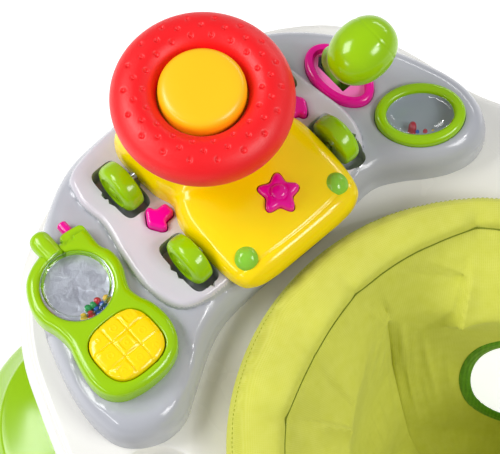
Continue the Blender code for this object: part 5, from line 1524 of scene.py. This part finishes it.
def stitch_nodes():
    tree = bpy.data.node_groups.get("stitches_along_a_path")
    if tree:
        return tree
    tree = bpy.data.node_groups.new("stitches_along_a_path", "GeometryNodeTree")
    tree.interface.new_socket("Geometry", in_out="INPUT", socket_type="NodeSocketGeometry")
    for name in ("Pitch", "Stitch Length", "Thread"):
        tree.interface.new_socket(name, in_out="INPUT", socket_type="NodeSocketFloat")
    tree.interface.new_socket("Material", in_out="INPUT", socket_type="NodeSocketMaterial")
    tree.interface.new_socket("Geometry", in_out="OUTPUT", socket_type="NodeSocketGeometry")
    given = add(tree, "NodeGroupInput").outputs
    line = add(tree, "GeometryNodeMeshToCurve", {"Mesh": given["Geometry"]})
    even = add(tree, "GeometryNodeResampleCurve", {"Curve": line.outputs[0], "Length": given["Pitch"]},
               mode="LENGTH")
    ball = add(tree, "GeometryNodeMeshUVSphere", {"Segments": 8, "Rings": 6, "Radius": 0.5})
    size = add(tree, "ShaderNodeCombineXYZ",
               {"X": given["Thread"], "Y": given["Thread"], "Z": given["Stitch Length"]})
    along = add(tree, "GeometryNodeInputTangent")
    turn = add(tree, "FunctionNodeAlignRotationToVector", {"Vector": along.outputs[0]}, axis="Z")
    put = add(tree, "GeometryNodeInstanceOnPoints", {
        "Points": even.outputs[0], "Instance": ball.outputs["Mesh"], "Rotation": turn.outputs[0],
        "Scale": size.outputs[0],
    })
    real = add(tree, "GeometryNodeRealizeInstances", {"Geometry": put.outputs[0]})
    painted = add(tree, "GeometryNodeSetMaterial",
                  {"Geometry": real.outputs[0], "Material": given["Material"]})
    add(tree, "NodeGroupOutput", {"Geometry": painted.outputs[0]})
    return tree


# ---------------------------------------------------------------- everything

make_base()
make_base_tubes()
make_tray()
make_console()
make_car()
make_arrows()
make_steering()
make_phone()
make_gear()
make_oval()
make_electronics()
make_seat()


# ---------------------------------------------------------------- stage


CAMERA_TURN = (-41.5, 68)  # azimuth and elevation in degrees
CAMERA_AIM = (-0.016, 0.252, 0.405)
CAMERA_DISTANCE = 1.8
CAMERA_LENS = 167.2
LIGHT_AIM = (0, 0.2, 0.42)


def softbox(name, place, size, power):
    light = bpy.data.lights.new(name, "AREA")
    light.shape = "RECTANGLE"
    light.size, light.size_y = size
    light.energy = power
    lamp = new_object(name, light)
    lamp.location = place
    lamp.rotation_euler = (Vector(LIGHT_AIM) - Vector(place)).to_track_quat("-Z", "Y").to_euler()
    return lamp


def make_stage():
    scene = bpy.context.scene
    mesh = new_mesh("floor", [(-4, -4, 0), (4, -4, 0), (4, 4, 0), (-4, 4, 0)], [(0, 1, 2, 3)])
    floor = new_object("floor", mesh)
    paper, _, principled = new_material("white_studio_paper", Roughness=0.9)
    principled.inputs["Base Color"].default_value = linear("#fbfbfb")
    principled.inputs["Emission Color"].default_value = linear("#ffffff")
    principled.inputs["Emission Strength"].default_value = 0.32
    mesh.materials.append(paper)
    world = bpy.data.worlds.new("studio")
    world.use_nodes = True
    world.node_tree.nodes["Background"].inputs["Color"].default_value = (1, 1, 1, 1)
    world.node_tree.nodes["Background"].inputs["Strength"].default_value = 0.30
    scene.world = world
    softbox("key", (-0.9, 1.3, 1.8), (1.0, 0.7), 22)
    softbox("left_strip", (-1.6, 0.6, 1.2), (1.6, 0.09), 8)
    softbox("right", (0.9, -0.9, 1.9), (0.12, 0.12), 4)
    softbox("right_strip", (1.5, 0.6, 0.95), (1.2, 0.10), 4)
    softbox("front_fill", (0.5, -1.3, 1.9), (0.7, 0.7), 17)
    camera = new_object("camera", bpy.data.cameras.new("camera"))
    azimuth, elevation = (math.radians(degrees) for degrees in CAMERA_TURN)
    back = Vector((math.sin(azimuth) * math.cos(elevation), -math.cos(azimuth) * math.cos(elevation),
                   math.sin(elevation)))
    camera.location = Vector(CAMERA_AIM) + CAMERA_DISTANCE * back
    camera.rotation_euler = (-back).to_track_quat("-Z", "Y").to_euler()
    camera.data.sensor_width = 36
    camera.data.lens = CAMERA_LENS
    camera.data.clip_end = 20
    scene.camera = camera
    scene.view_settings.view_transform = "Standard"


make_stage()
